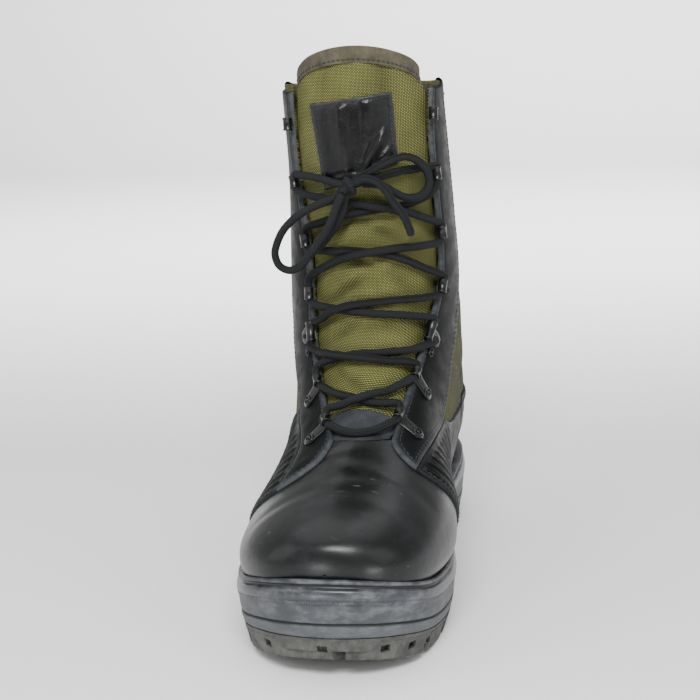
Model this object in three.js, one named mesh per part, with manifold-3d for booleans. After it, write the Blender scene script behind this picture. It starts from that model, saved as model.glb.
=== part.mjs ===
// Combat boot, right foot: black leather vamp, counter and facings, olive nylon shaft and tongue,
// moulded sole with a lugged outsole, tunnel eyelets and a laced bow.
// Millimetres. +X is the inner (medial) side, +Y the heel, +Z up. The origin is on the floor, midway.
import * as THREE from 'three';
import { mergeVertices } from 'three/addons/utils/BufferGeometryUtils.js';
import Module from 'manifold-3d';

const wasm = await Module();
wasm.setup();

// Driving sizes
const soleLength = 306; // outsole, heel to toe
const ballWidth = 117; // sole across the ball
const shaftHeight = 288; // floor to the collar at the facings
const instepHeight = 118; // floor to the vamp above the instep, at its form's table row
const heelHeight = 40; // floor to the heel seat
const wall = 2.2; // leather or padded nylon of the upper
const overlay = 1.4; // facings, counter, quarter panels
const gap = 0.3; // between pieces that meet
const toeSpring = 12;
const treadDepth = 5;
const heelBreast = 84; // from the heel's back
const archRise = 13;
const insoleThickness = 4;
const laceRadius = 2.3;

// The pattern below is drawn for one size and graded to the driving sizes.
const pattern = { length: 306, ball: 117, shaft: 288, instep: 118, heel: 40 };
const gradeLength = soleLength / pattern.length;
const gradeWidth = ballWidth / pattern.ball;

// Heights are graded by the heel near the floor, by the instep above it, and by the shaft to the top.
function gradeUp(up) {
  const marks = [
    [0, 0],
    [pattern.heel, heelHeight],
    [pattern.instep, instepHeight],
    [pattern.shaft, shaftHeight],
  ];
  const i = up < pattern.heel ? 0 : up < pattern.instep ? 1 : 2;
  const [[p0, g0], [p1, g1]] = [marks[i], marks[i + 1]];
  return g0 + ((up - p0) * (g1 - g0)) / (p1 - p0);
}

// The sole from heel to toe: its edge on both sides, the joint of outsole and midsole,
// the rand's top and the seat that the upper stands on.
const soleColumns = ['along', 'medial', 'lateral', 'joint', 'rand', 'seat'];
const soleRows = [
  [0, 2, 2, 14.5, 50, 40],
  [3.5, 18, -14, 14.5, 50, 40],
  [14, 31.5, -27, 14, 49.5, 40],
  [31, 40.5, -36, 14, 48, 39.5],
  [57, 44, -40.5, 14.5, 46, 38.5],
  [86, 42.5, -44.5, 17, 43, 36],
  [116, 40.5, -49.5, 17, 40.5, 33.5],
  [145, 42.5, -55, 12.5, 38.5, 30.5],
  [172, 48, -60, 10, 37.5, 28],
  [198, 52.8, -62.5, 9.8, 37, 27],
  [223, 54.8, -63, 10, 38, 27.5],
  [247, 52.8, -60.5, 12, 39.5, 29.5],
  [268, 48.5, -54.5, 16, 43.2, 33],
  [285, 40, -44, 20, 48.5, 37.5],
  [298, 26.5, -30, 23, 53.2, 41.5],
  [304.3, 13.5, -16.5, 24.4, 55.6, 43.6],
  [306, -1.5, -1.5, 24.6, 56.2, 44],
];

// The lasted form of the upper from the toe's tip, over the instep, to above the collar. Each row is
// a section from its low or back end to its top or front end, with the sides' reach, the ridge's
// place, where the section is widest, and how square its crown and its base are.
const formColumns = [
  'lowAlong', 'lowUp', 'topAlong', 'topUp', 'medial', 'lateral', 'foot', 'ridge', 'widest',
  'medialCrown', 'lateralCrown', 'base',
];
const formRows = [
  [300.5, 57, 300.5, 57, -1.5, -1.5, -1.5, -1.5, 0.5, 2, 2, 2.2],
  [298.8, 44, 298.5, 68.5, 14.5, -17.5, -1.5, -1.5, 0.47, 2.05, 2.05, 2.5],
  [293.5, 40.5, 292.5, 74.5, 27.5, -31, -1.5, -1, 0.44, 2.1, 2, 2.6],
  [284, 36.5, 281.5, 79.5, 38.5, -42, -1.5, -0.5, 0.41, 2.15, 1.9, 2.6],
  [269, 32, 265, 84, 47, -52, -2, 0, 0.38, 2.15, 1.8, 2.6],
  [249.5, 28.5, 244.5, 89.5, 52.8, -57.8, -3, 0, 0.36, 2.1, 1.65, 2.5],
  [226.5, 26, 221.5, 97, 55.8, -60, -4, 0, 0.34, 2, 1.55, 2.5],
  [202, 25.5, 201, 106.5, 53.8, -59.2, -4.5, 0.5, 0.32, 1.9, 1.5, 2.6],
  [176.5, 26.5, 183.5, 118, 49, -56, -4.5, 0.5, 0.32, 1.8, 1.5, 2.8],
  [149, 29, 169, 130.5, 44.5, -52.5, -4, 0.5, 0.33, 1.8, 1.6, 3],
  [118.5, 32, 158.5, 143, 42, -51.5, -3, 0.5, 0.36, 1.85, 1.75, 3],
  [86.5, 34.5, 151, 155.5, 42.5, -52.5, -1, 0.5, 0.4, 1.95, 1.9, 3],
  [55, 37.5, 146.6, 168, 43.5, -54, 1, 0.5, 0.44, 2.05, 2.05, 2.9],
  [27, 38.5, 144.2, 180, 44.5, -55.5, 2, 0.5, 0.48, 2.1, 2.1, 2.6],
  [8.5, 46, 143.2, 191.5, 44.8, -56, 2, 0, 0.5, 2.15, 2.15, 2.3],
  [4, 65, 142.7, 203, 44.8, -56.5, 1, -1, 0.5, 2.15, 2.15, 2.2],
  [6, 90, 142.7, 214, 44.6, -56, 0, -2, 0.5, 2.15, 2.15, 2.15],
  [10, 115, 143, 225.5, 44.2, -55.2, -1.5, -3, 0.5, 2.15, 2.15, 2.15],
  [12.8, 142, 143, 237.5, 43.2, -54.5, -3, -4, 0.5, 2.15, 2.15, 2.15],
  [13.2, 170, 143, 250, 41.8, -54, -4, -5, 0.5, 2.15, 2.15, 2.15],
  [12, 199, 142.7, 263, 40.3, -54.3, -5.5, -5.5, 0.5, 2.15, 2.15, 2.15],
  [10, 228, 142, 276.5, 38.8, -55.5, -7, -6, 0.5, 2.15, 2.15, 2.15],
  [8, 257, 141, 290, 37.2, -57, -9, -6, 0.5, 2.15, 2.15, 2.15],
  [6.2, 286, 139.5, 303, 36, -58.3, -10.5, -6, 0.5, 2.15, 2.15, 2.15],
  [5, 315, 138, 318, 35.3, -59.2, -11.5, -6, 0.5, 2.15, 2.15, 2.15],
];

// The open front seen from ahead: the middle of the lacing and half its width, by height.
const throatColumns = ['up', 'middle', 'half'];
const throatRows = [
  [100, 2, 0],
  [100.6, 2, 15],
  [103.5, 2, 18.8],
  [109, 0.8, 21],
  [126, -1.4, 27.6],
  [148, -0.8, 33],
  [171, 1, 35.8],
  [202, 0, 36.8],
  [234, -3.8, 38.4],
  [267, -6, 39],
  [300, -5.5, 40],
];

// Eyelets from the lowest up: height, the tunnel's length, and the plate behind it.
const eyeletColumns = ['up', 'tunnel', 'plate', 'rivets'];
const eyeletRows = [
  [106, 6.5, 17, 1],
  [122.5, 6.5, 17, 1],
  [144.5, 12, 13, 2],
  [168, 8, 8, 1],
  [200, 8, 8, 1],
  [233.5, 8, 8, 1],
  [267, 8, 8, 1],
];
const tunnelOuter = 3.5;
const tunnelInner = 2.65;
const plateThickness = 0.9;
const tunnelAhead = 1.5;
const eyeletSides = 6;

// A natural cubic curve through a list of values, read at any place between them.
function curveThrough(values) {
  const last = values.length - 1;
  const bend = new Array(last + 1).fill(0);
  const load = new Array(last + 1).fill(0);
  for (let i = 1; i < last; i++) {
    const pivot = 0.5 * bend[i - 1] + 2;
    const turn = values[i + 1] - 2 * values[i] + values[i - 1];
    bend[i] = -0.5 / pivot;
    load[i] = (3 * turn - 0.5 * load[i - 1]) / pivot;
  }
  for (let i = last - 1; i >= 0; i--) bend[i] = bend[i] * bend[i + 1] + load[i];
  return (place) => {
    const i = Math.min(Math.max(Math.floor(place), 0), last - 1);
    const b = place - i;
    const a = 1 - b;
    return a * values[i] + b * values[i + 1] + ((a ** 3 - a) * bend[i] + (b ** 3 - b) * bend[i + 1]) / 6;
  };
}

// Rows before the first one mirror those after it, so that a closed end comes out round.
const ghostRows = 3;
function tableCurves(columns, rows, grade, startSwap, endSwap) {
  const named = rows.map((row) => Object.fromEntries(columns.map((c, i) => [c, grade(c, row[i])])));
  const swap = (row, pairs) => {
    const out = { ...row };
    for (const [a, b] of pairs) [out[a], out[b]] = [row[b], row[a]];
    return out;
  };
  const before = startSwap ? named.slice(1, 1 + ghostRows).reverse().map((r) => swap(r, startSwap)) : [];
  const after = endSwap ? named.slice(-1 - ghostRows, -1).reverse().map((r) => swap(r, endSwap)) : [];
  const all = [...before, ...named, ...after];
  const curves = {};
  for (const c of columns) {
    const curve = curveThrough(all.map((r) => r[c]));
    curves[c] = (place) => curve(place + before.length);
  }
  curves.last = rows.length - 1;
  return curves;
}

const alongColumns = ['along', 'lowAlong', 'topAlong'];
const upColumns = ['joint', 'rand', 'seat', 'lowUp', 'topUp', 'up'];
const widthColumns = ['medial', 'lateral', 'foot', 'ridge', 'middle', 'half'];
function gradeValue(column, value) {
  if (alongColumns.includes(column)) return value * gradeLength;
  if (upColumns.includes(column)) return gradeUp(value);
  return widthColumns.includes(column) ? value * gradeWidth : value;
}

const sidesSwap = [['medial', 'lateral']];
const noseSwap = [['lowAlong', 'topAlong'], ['lowUp', 'topUp'], ['medial', 'lateral']];
const sole = tableCurves(soleColumns, soleRows, gradeValue, sidesSwap, sidesSwap);
const form = tableCurves(formColumns, formRows, gradeValue, noseSwap, null);
const throat = tableCurves(throatColumns, throatRows, gradeValue, null, null);

const yOf = (along) => soleLength / 2 - along;
const mix = (a, b, t) => a + (b - a) * t;

// The place where a rising curve reaches a value.
function placeOf(curve, value, from, to) {
  let [low, high] = [from, to];
  const rising = curve(to) > curve(from);
  for (let i = 0; i < 40; i++) {
    const middle = (low + high) / 2;
    if (curve(middle) < value === rising) low = middle;
    else high = middle;
  }
  return (low + high) / 2;
}

function soleAt(column, along) {
  return sole[column](placeOf(sole.along, along, 0, sole.last));
}

// A point of the form at a section and an angle round it: 0 is the top or front, half a turn the
// low or back end, positive on the medial side.
function formPoint(section, angle) {
  const turn = Math.abs(angle);
  const side = angle >= 0 ? 'medial' : 'lateral';
  const widest = form.widest(section);
  const rise = Math.cos(turn);
  const crown = angle >= 0 ? form.medialCrown(section) : form.lateralCrown(section);
  const square = 2 / (rise > 0 ? crown : form.base(section));
  const share = widest + (rise > 0 ? 1 - widest : widest) * Math.sign(rise) * Math.abs(rise) ** square;
  const foot = form.foot(section);
  const ridge = form.ridge(section);
  const reach = form[side](section) - mix(foot, ridge, widest);
  const x = mix(foot, ridge, share) + reach * Math.abs(Math.sin(turn)) ** square;
  const along = mix(form.lowAlong(section), form.topAlong(section), share);
  return new THREE.Vector3(x, yOf(along), mix(form.lowUp(section), form.topUp(section), share));
}

// The same point moved off the form, outward when positive.
function offFormPoint(section, angle, offset) {
  const nudge = 0.02;
  const s = Math.max(section, 3 * nudge);
  const acrossStep = formPoint(s, angle + nudge).sub(formPoint(s, angle - nudge));
  const onStep = formPoint(s + nudge, angle).sub(formPoint(s - nudge, angle));
  const normal = acrossStep.cross(onStep).normalize();
  if (section < nudge) normal.set(0, -1, 0);
  return formPoint(section, angle).addScaledVector(normal, offset);
}

// The form's front at a given side step and height, for what lies over the tongue.
function frontPoint(x, up, offset) {
  let angle = 0;
  let section = form.last - 1;
  const reachUp = (s) => {
    const side = x >= formPoint(s, 0).x ? 1 : -1;
    angle = side * placeOf((a) => side * formPoint(s, side * a).x, side * x, 0, Math.PI / 2);
    return formPoint(s, angle).z;
  };
  section = placeOf(reachUp, up, 6, form.last);
  reachUp(section);
  return offFormPoint(section, angle, offset);
}

// Solids and geometries
function solidOf(geometry) {
  const bare = new THREE.BufferGeometry();
  bare.setAttribute('position', geometry.getAttribute('position'));
  if (geometry.index) bare.setIndex(geometry.index);
  const merged = mergeVertices(bare, 1e-4);
  const mesh = new wasm.Mesh({
    numProp: 3,
    vertProperties: new Float32Array(merged.attributes.position.array),
    triVerts: new Uint32Array(merged.index.array),
  });
  return new wasm.Manifold(mesh);
}

function geometryOf(solid) {
  const mesh = solid.getMesh();
  const geometry = new THREE.BufferGeometry();
  geometry.setAttribute('position', new THREE.BufferAttribute(new Float32Array(mesh.vertProperties), 3));
  geometry.setIndex(new THREE.BufferAttribute(new Uint32Array(mesh.triVerts), 1));
  return geometry.toNonIndexed();
}

// A closed skin through rings of equal count; each end closes on its own middle.
function skin(rings) {
  const count = rings[0].length;
  const points = rings.flat();
  const faces = [];
  rings.slice(1).forEach((_, r) => {
    for (let i = 0; i < count; i++) {
      const [a, b] = [r * count + i, r * count + ((i + 1) % count)];
      faces.push(a, b, b + count, a, b + count, a + count);
    }
  });
  for (const [start, flip] of [[0, true], [(rings.length - 1) * count, false]]) {
    const middle = new THREE.Vector3();
    for (let i = 0; i < count; i++) middle.addScaledVector(points[start + i], 1 / count);
    const centre = points.push(middle) - 1;
    for (let i = 0; i < count; i++) {
      const [a, b] = [start + i, start + ((i + 1) % count)];
      faces.push(...(flip ? [centre, b, a] : [centre, a, b]));
    }
  }
  return indexed(points, faces);
}

function indexed(points, faces) {
  const geometry = new THREE.BufferGeometry().setFromPoints(points);
  geometry.setIndex(faces);
  const at = (i) => points[faces[i]];
  let volume = 0;
  for (let i = 0; i < faces.length; i += 3) volume += at(i).dot(at(i + 1).clone().cross(at(i + 2)));
  if (volume < 0) geometry.setIndex(faces.reverse());
  return geometry;
}

const around = 24;
const noseSections = [0.04, 0.3, 0.65, 1.2];
const footSections = { from: 2, to: 15 };
const shaftSections = [17, 19, 21.5, 24];
function formSolid(offset) {
  const rings = [];
  const sections = [...noseSections];
  for (let i = footSections.from; i <= footSections.to; i++) sections.push(i);
  for (const section of [...sections, ...shaftSections]) {
    const ring = [];
    for (let j = 0; j < around; j++) {
      ring.push(offFormPoint(section, Math.PI - (2 * Math.PI * (j + 0.5)) / around, offset));
    }
    rings.push(ring);
  }
  return solidOf(skin(rings));
}

// Flat outlines pushed through the boot: seen from the side, from ahead and from below.
const wide = 90;
function extruded(outline, depth, matrix) {
  const shape = new THREE.Shape(outline.map(([a, b]) => new THREE.Vector2(a, b)));
  const geometry = new THREE.ExtrudeGeometry(shape, { depth, bevelEnabled: false });
  geometry.applyMatrix4(matrix);
  return solidOf(geometry);
}

// Outline points are [along, up]; the solid runs from one x to another.
function sideBlock(outline, from = -wide, to = wide) {
  const matrix = new THREE.Matrix4().makeBasis(
    new THREE.Vector3(0, -1, 0), new THREE.Vector3(0, 0, 1), new THREE.Vector3(-1, 0, 0),
  );
  matrix.setPosition(to, yOf(0), 0);
  return extruded(outline, to - from, matrix);
}

// Outline points are [x, up]; the solid runs from one distance along to another.
function frontBlock(outline, from, to) {
  const matrix = new THREE.Matrix4().makeBasis(
    new THREE.Vector3(1, 0, 0), new THREE.Vector3(0, 0, 1), new THREE.Vector3(0, -1, 0),
  );
  matrix.setPosition(0, yOf(from), 0);
  return extruded(outline, to - from, matrix);
}

// Outline points are [x, along]; the solid runs from one height to another.
function planBlock(outline, from, to) {
  const inPlan = outline.map(([x, along]) => [x, yOf(along)]);
  return extruded(inPlan, to - from, new THREE.Matrix4().makeTranslation(0, 0, from));
}

// A smooth line through a few points, as a list of points.
function smoothLine(points, pieces) {
  const curve = new THREE.SplineCurve(points.map(([a, b]) => new THREE.Vector2(a, b)));
  return curve.getPoints(pieces).map((p) => [p.x, p.y]);
}

const graded = (points) => points.map(([along, up]) => [along * gradeLength, gradeUp(up)]);

function meshOf(name, solid, material) {
  const mesh = new THREE.Mesh(geometryOf(solid), material);
  mesh.geometry.computeVertexNormals();
  mesh.name = name;
  return mesh;
}

const material = (color, roughness, metalness = 0) =>
  new THREE.MeshStandardMaterial({ color, roughness, metalness });
const blackLeather = material(0x1b1c1f, 0.38);
const nylon = material(0x5d5f31, 0.85);
const tape = material(0x5a5340, 0.9);
const rubber = material(0x24262a, 0.6);
const treadRubber = material(0x3a3b3a, 0.85);
const blackSteel = material(0x1a1b1d, 0.3, 0.8);
const laceCord = material(0x222326, 0.9);
const sockFelt = material(0x2e2e2c, 0.95);

// Sole
const heelBevel = { length: 14, rise: 3 };
const ballContact = { from: 150, to: 238 };
function underside(along) {
  const heel = heelBevel.length * gradeLength;
  if (along < heel) return heelBevel.rise * (1 - along / heel) ** 2;
  if (along <= heelBreast) return 0;
  const [from, to] = [ballContact.from * gradeLength, ballContact.to * gradeLength];
  if (along < from) {
    const t = (along - heelBreast) / (from - heelBreast);
    return archRise * (1 - t * t * (3 - 2 * t));
  }
  return along > to ? toeSpring * ((along - to) / (soleLength - to)) ** 1.7 : 0;
}

// Where the sole's rings have their points: even along the rows, with a step at the heel's breast.
const soleSteps = 20;
function solePlaces() {
  const places = [];
  for (let i = 0; i <= soleSteps; i++) places.push((sole.last * i) / soleSteps);
  const breast = placeOf(sole.along, heelBreast, 0, sole.last);
  const clear = places.filter((p) => Math.abs(p - breast) > 0.2);
  return [...clear, breast - 0.01, breast + 0.03].sort((a, b) => a - b);
}

// One ring round the sole, drawn in from its edge, at heights given along it.
function soleRing(inset, heightAt) {
  const places = solePlaces();
  const edge = (place, side) => {
    const nudge = 0.02;
    const at = (p) => new THREE.Vector2(sole[side](p), yOf(sole.along(p)));
    const end = place === 0 || place === sole.last;
    const step = at(place + nudge).sub(at(place - nudge)).normalize();
    const outward = new THREE.Vector2(-step.y, step.x).multiplyScalar(side === 'medial' ? 1 : -1);
    if (end) outward.set(0, place === 0 ? 1 : -1);
    const p = at(place).addScaledVector(outward, -inset);
    return new THREE.Vector3(p.x, p.y, heightAt(sole.along(place)));
  };
  const medial = places.map((p) => edge(p, 'medial'));
  const lateral = places.slice(1, -1).reverse().map((p) => edge(p, 'lateral'));
  return [...medial, ...lateral];
}

// A closed solid through rings of the sole, with its flats laid across from side to side.
function soleLoft(rings) {
  const count = rings[0].length;
  const half = count / 2;
  const points = rings.flat();
  const faces = [];
  rings.slice(1).forEach((_, r) => {
    for (let i = 0; i < count; i++) {
      const [a, b] = [r * count + i, r * count + ((i + 1) % count)];
      faces.push(a, b, b + count, a, b + count, a + count);
    }
  });
  for (const [start, flip] of [[0, true], [(rings.length - 1) * count, false]]) {
    for (let i = 0; i < half; i++) {
      const [a, b] = [start + i, start + i + 1];
      const [c, d] = [start + ((count - i) % count), start + ((count - i - 1) % count)];
      const quad = [[a, b, d], [a, d, c]].filter((t) => new Set(t).size === 3);
      for (const [p, q, r] of quad) faces.push(...(flip ? [p, r, q] : [p, q, r]));
    }
  }
  return solidOf(indexed(points, faces));
}

// The midsole's side from the joint up: share of the height, and how far it stands in.
const sideRows = [
  { share: 0, inset: 3.4 },
  { share: 0.2, inset: 1.8 },
  { share: 0.24, inset: 2.8 },
  { share: 0.29, inset: 1.6 },
  { share: 0.6, inset: 0.9 },
  { share: 0.66, inset: 0 },
  { share: 0.83, inset: 0.9 },
  { share: 0.86, inset: 2.3 },
  { share: 0.92, inset: 2.3 },
  { share: 0.95, inset: 1.4 },
  { share: 1, inset: 2.2 },
];

function midsole() {
  const joint = (along) => soleAt('joint', along) + gap / 2;
  const rings = sideRows.map(({ share, inset }) =>
    soleRing(inset, (along) => mix(joint(along), soleAt('rand', along), share)),
  );
  const cup = formSolid(gap).intersect(aboveSeat(-gap));
  return soleLoft(rings).subtract(cup);
}

// Everything above, or within a band above, the seat that the upper stands on.
function seatLine(lift) {
  const line = [];
  for (let i = 0; i <= sole.last; i++) line.push([sole.along(i), sole.seat(i) + lift]);
  return [[-20, line[0][1]], ...line, [soleLength + 20, line[sole.last][1]]];
}

function aboveSeat(lift) {
  return sideBlock([...seatLine(lift), [soleLength + 20, 400], [-20, 400]]);
}

function seatBand(from, to) {
  return sideBlock([...seatLine(from), ...seatLine(to).reverse()]);
}

// The overlays stop at the rand instead of running down into the sole's cup.
function belowRand() {
  const line = [];
  for (let i = 0; i <= sole.last; i++) line.push([sole.along(i), sole.rand(i) + gap]);
  const ends = [[soleLength + 20, line[sole.last][1]], [soleLength + 20, 0], [-20, 0]];
  return sideBlock([[-20, line[0][1]], ...line, ...ends].reverse());
}

// Tread: channels across and along, that leave lugs standing under the outsole's slab.
const lugPitch = 27;
const channelWidth = 6;
const firstChannel = 4;
function treadChannels() {
  const channels = [];
  const across = (along, slant, side) => {
    const x = side * wide;
    const outline = [
      [0, along], [x, along - slant], [x, along - slant + channelWidth], [0, along + channelWidth],
    ];
    return planBlock(side > 0 ? outline : outline.reverse(), -5, wide);
  };
  for (let along = firstChannel; along < soleLength; along += lugPitch) {
    const inHeel = along < heelBreast - channelWidth;
    if (!inHeel && along < ballContact.from - 14) continue;
    channels.push(across(along, 22, 1), across(along, 22, -1));
  }
  const spine = [];
  const spineEnds = [10, soleLength + 6];
  const bends = 10;
  for (let i = 0; i <= bends; i++) {
    const along = mix(...spineEnds, i / bends);
    spine.push([(i % 2 ? 4 : -4) + mix(2, 5, along / soleLength), along]);
  }
  const half = channelWidth / 2;
  const outline = [...spine.map(([x, a]) => [x - half, a]), ...spine.map(([x, a]) => [x + half, a]).reverse()];
  channels.push(planBlock(outline, -5, wide));
  return wasm.Manifold.union(channels);
}

function outsole() {
  const top = (along) => soleAt('joint', along) - gap / 2;
  const floor = (along) => Math.min(underside(along) + treadDepth, top(along) - 3);
  const slab = soleLoft([soleRing(4.8, floor), soleRing(3, top)]);
  const full = soleLoft([
    soleRing(6.6, underside),
    soleRing(5.6, (along) => underside(along) + 1),
    soleRing(3.4, (along) => mix(underside(along), top(along), 0.8)),
  ]);
  return slab.add(full.subtract(treadChannels()));
}

// Upper
const collarLine = graded([[-20, 281], [20, 281.5], [60, 284], [90, 287.5], [118, 288], [150, 286]]);
function belowCollar(lift) {
  const line = smoothLine(collarLine, 14).map(([a, u]) => [a, u + lift]);
  return sideBlock([[-20, 0], [340, 0], [340, 340], [150, 340], ...line.reverse()]);
}

function throatOutline(grow) {
  const right = [];
  const left = [];
  const steps = 18;
  for (let i = 0; i <= steps; i++) {
    const place = (throat.last * i) / steps;
    const half = Math.max(throat.half(place), 0) + grow;
    const up = throat.up(place) - (i ? 0 : grow);
    right.push([throat.middle(place) + half, up]);
    left.push([throat.middle(place) - half, up]);
  }
  const top = 400;
  const ends = [[right[steps][0], top], [left[steps][0], top]];
  return [...right.slice(grow ? 0 : 1), ...ends, ...left.slice(grow ? 0 : 1).reverse()];
}

function throatBlock(grow = 0) {
  return frontBlock(throatOutline(grow), 76, soleLength + 10);
}

function upper(forms) {
  const shell = forms.outer.subtract(forms.inner).intersect(aboveSeat(0)).intersect(belowCollar(0));
  return shell.subtract(throatBlock());
}

// Pattern pieces seen from the side, as [along, up]. The facing's back edge runs down the shaft and
// forward over the ankle panel to the wing's tip; the wing's edge runs from the throat to the sole.
const facingBacks = {
  medial: graded([
    [82, 330], [80, 288], [79, 240], [79, 200], [80, 174], [85, 153], [94, 136], [107, 120], [125, 102],
    [145, 92.5], [171, 92], [200, 91], [222, 87.5],
  ]),
  lateral: graded([
    [82, 330], [80, 288], [79, 240], [79, 200], [82, 174], [90, 153], [103, 134], [122, 116], [144, 105],
    [162, 98], [176, 95.5], [197, 90.5], [214, 84], [231, 77],
  ]),
};
const wingEdges = {
  medial: graded([
    [200, 114], [203, 104], [207, 100], [213.5, 96.3], [219, 92], [222, 87.5], [220.5, 81], [213, 70],
    [203, 57], [192, 43], [184, 30],
  ]),
  lateral: graded([
    [200, 114], [203, 104], [207, 100], [215, 96.2], [221, 93], [227, 89.3], [231.5, 84], [231, 77],
    [224, 66], [214, 54], [204, 42], [196, 30],
  ]),
};
const quarterTop = graded([[66, 88], [84, 84.5], [104, 84.5], [126, 87], [146, 97], [158, 112]]);
const counterTop = graded([[-20, 104], [4, 103], [24, 99], [50, 90], [81, 84]]);
const counterFront = graded([[81, 84], [86, 70], [90, 56], [92, 30]]);
const seamGap = gap + 0.1;
const beyond = 330; // along and up, past everything

// One side of the boot, ahead of and above the facing's back edge.
function facingStrip(side, shift) {
  const back = smoothLine(facingBacks[side], 20).map(([a, u]) => [a - shift, u - shift]);
  const end = back.at(-1);
  return halfBlock(side, [...back, [beyond, end[1]], [beyond, beyond]].reverse());
}

// The vamp's side of the wing's edge.
function vampBlock(side) {
  return halfBlock(side, [...smoothLine(wingEdges[side], 20), [beyond, 30], [beyond, 114]].reverse());
}

function halfBlock(side, outline) {
  return side === 'medial' ? sideBlock(outline, 0, wide) : sideBlock(outline, -wide, 0);
}

function facing(side, skinSolid) {
  const leather = skinSolid.intersect(facingStrip(side, 0)).subtract(vampBlock(side));
  return leather.subtract(throatBlock()).intersect(belowCollar(0));
}

function quarterPanel(side, skinSolid) {
  const below = halfBlock(side, [...smoothLine(quarterTop, 10), [260, 112], [260, 20], [60, 20]].reverse());
  const leather = skinSolid.intersect(below).subtract(facingStrip(side, seamGap)).subtract(vampBlock(side));
  return leather.subtract(sideBlock(counterOutline(gap))).intersect(aboveSeat(0.2));
}

function counterOutline(grow) {
  const top = smoothLine(counterTop, 10).map(([a, u]) => [a, u + grow]);
  const front = smoothLine(counterFront, 6).map(([a, u]) => [a + grow, u]);
  return [[-20, 20], [front.at(-1)[0], 20], ...front.reverse(), ...top.reverse()];
}

function heelCounter(skinSolid) {
  return skinSolid.intersect(sideBlock(counterOutline(0))).intersect(aboveSeat(0.2));
}

const backstayHalf = 14;
const bindingDepth = 9;
const backstayLean = { low: -3, high: -6 };
function backstay(skinSolid) {
  const edge = (side, lean, up) => [side * backstayHalf + lean, up];
  const { low, high } = backstayLean;
  const outline = [edge(-1, low, 60), edge(1, low, 60), edge(1, high, 400), edge(-1, high, 400)];
  const strip = frontBlock(outline, -20, 60);
  const below = belowCollar(-bindingDepth - gap);
  return skinSolid.intersect(strip).intersect(below).subtract(sideBlock(counterOutline(gap)));
}

// A tape folded over the collar's edge from facing to facing.
function collarBinding(forms) {
  const back = smoothLine(facingBacks.medial, 20).map(([a, u]) => [a - seamGap, u]).slice(0, 6);
  const behind = sideBlock([...back, [-20, back.at(-1)[1]], [-20, beyond]]);
  const band = belowCollar(1.2).subtract(belowCollar(-bindingDepth)).intersect(behind);
  const tapeSolid = forms.skinOuter.subtract(formSolid(-wall - gap - 1));
  const clear = forms.skinInner.subtract(formSolid(-wall - gap)).intersect(belowCollar(gap));
  return tapeSolid.intersect(band).subtract(clear);
}

// Tongue: a nylon sheet behind the facings, higher in the middle, with its tape and its leather patch.
const tongueOffset = -wall - gap;
const tongueThickness = 2.4;
const tongueTop = { middle: -6.5, half: 36, edge: 291, crown: 308.5 };
const tongueSides = [[26, 94], [37, 112], [42, 135], [43, 165], [43, 200], [42, 250], [39, 278]];
function tongueOutline(drop) {
  const points = [];
  const steps = 12;
  for (let i = 0; i <= steps; i++) {
    const t = mix(1, -1, i / steps);
    const up = mix(gradeUp(tongueTop.edge), gradeUp(tongueTop.crown), Math.sqrt(Math.max(1 - t * t, 0)) ** 1.3);
    points.push([tongueTop.middle + t * tongueTop.half * gradeWidth, up - drop]);
  }
  return points;
}

function tongue() {
  const sheet = formSolid(tongueOffset).subtract(formSolid(tongueOffset - tongueThickness));
  const middle = (up) => (up > 200 ? mix(throatMiddle(200), tongueTop.middle, (up - 200) / 90) : throatMiddle(up));
  const right = tongueSides.map(([half, up]) => [middle(up) + half, up]);
  const left = tongueSides.map(([half, up]) => [middle(up) - half, up]).reverse();
  const outline = [...right, ...tongueOutline(0), ...left];
  return sheet.intersect(frontBlock(outline, 93, soleLength));
}

function throatMiddle(up) {
  return throat.middle(placeOf(throat.up, up, 0, throat.last));
}

function tongueTape() {
  const depth = 8;
  const thickness = 0.9;
  const cover = tongueThickness + gap + thickness;
  const tapeSolid = formSolid(tongueOffset + gap + thickness).subtract(formSolid(tongueOffset - cover));
  const clear = formSolid(tongueOffset + gap).subtract(formSolid(tongueOffset - tongueThickness - gap));
  const half = tongueTop.half * gradeWidth;
  const base = (reach, drop) => {
    const up = gradeUp(tongueTop.edge) - drop;
    return [[tongueTop.middle - reach, up], [tongueTop.middle + reach, up]];
  };
  const under = frontBlock([...base(half + 9, depth + 9), ...tongueOutline(depth)], 60, soleLength);
  const inside = frontBlock([...base(half + 3, depth + 9), ...tongueOutline(-gap)], 60, soleLength);
  const outside = frontBlock([...base(half, depth), ...tongueOutline(-1.2)], 93, soleLength);
  return tapeSolid.intersect(outside).subtract(under).subtract(clear.intersect(inside));
}

const patchThickness = 1.1;
const patchOutline = [[-26, 228], [19, 243], [16.5, 283], [-34.5, 277]];
function tonguePatch() {
  const near = tongueOffset + gap;
  const leather = formSolid(near + patchThickness).subtract(formSolid(near));
  return leather.intersect(frontBlock(patchOutline, 100, soleLength));
}

function insole() {
  const space = formSolid(-wall - gap);
  return space.intersect(seatBand(0, insoleThickness));
}

// Eyelets: a tunnel on the facing's edge, with its plate and rivets, set on the leather.
function eyeletFrame(row, side) {
  const up = gradeUp(row[0]);
  const place = placeOf(throat.up, up, 0, throat.last);
  const lift = gap + overlay + gap;
  const at = (height, back) => {
    const p = placeOf(throat.up, height, 0, throat.last);
    return frontPoint(throat.middle(p) + side * (throat.half(p) + back), height, lift);
  };
  const origin = at(throat.up(place), -tunnelAhead);
  const upward = at(up + 4, -tunnelAhead).sub(at(up - 4, -tunnelAhead)).normalize();
  const backward = at(up, 4).sub(origin);
  backward.addScaledVector(upward, -backward.dot(upward)).normalize();
  const outward = new THREE.Vector3().crossVectors(backward, upward).multiplyScalar(side).normalize();
  return { origin, upward, backward, outward };
}

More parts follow.
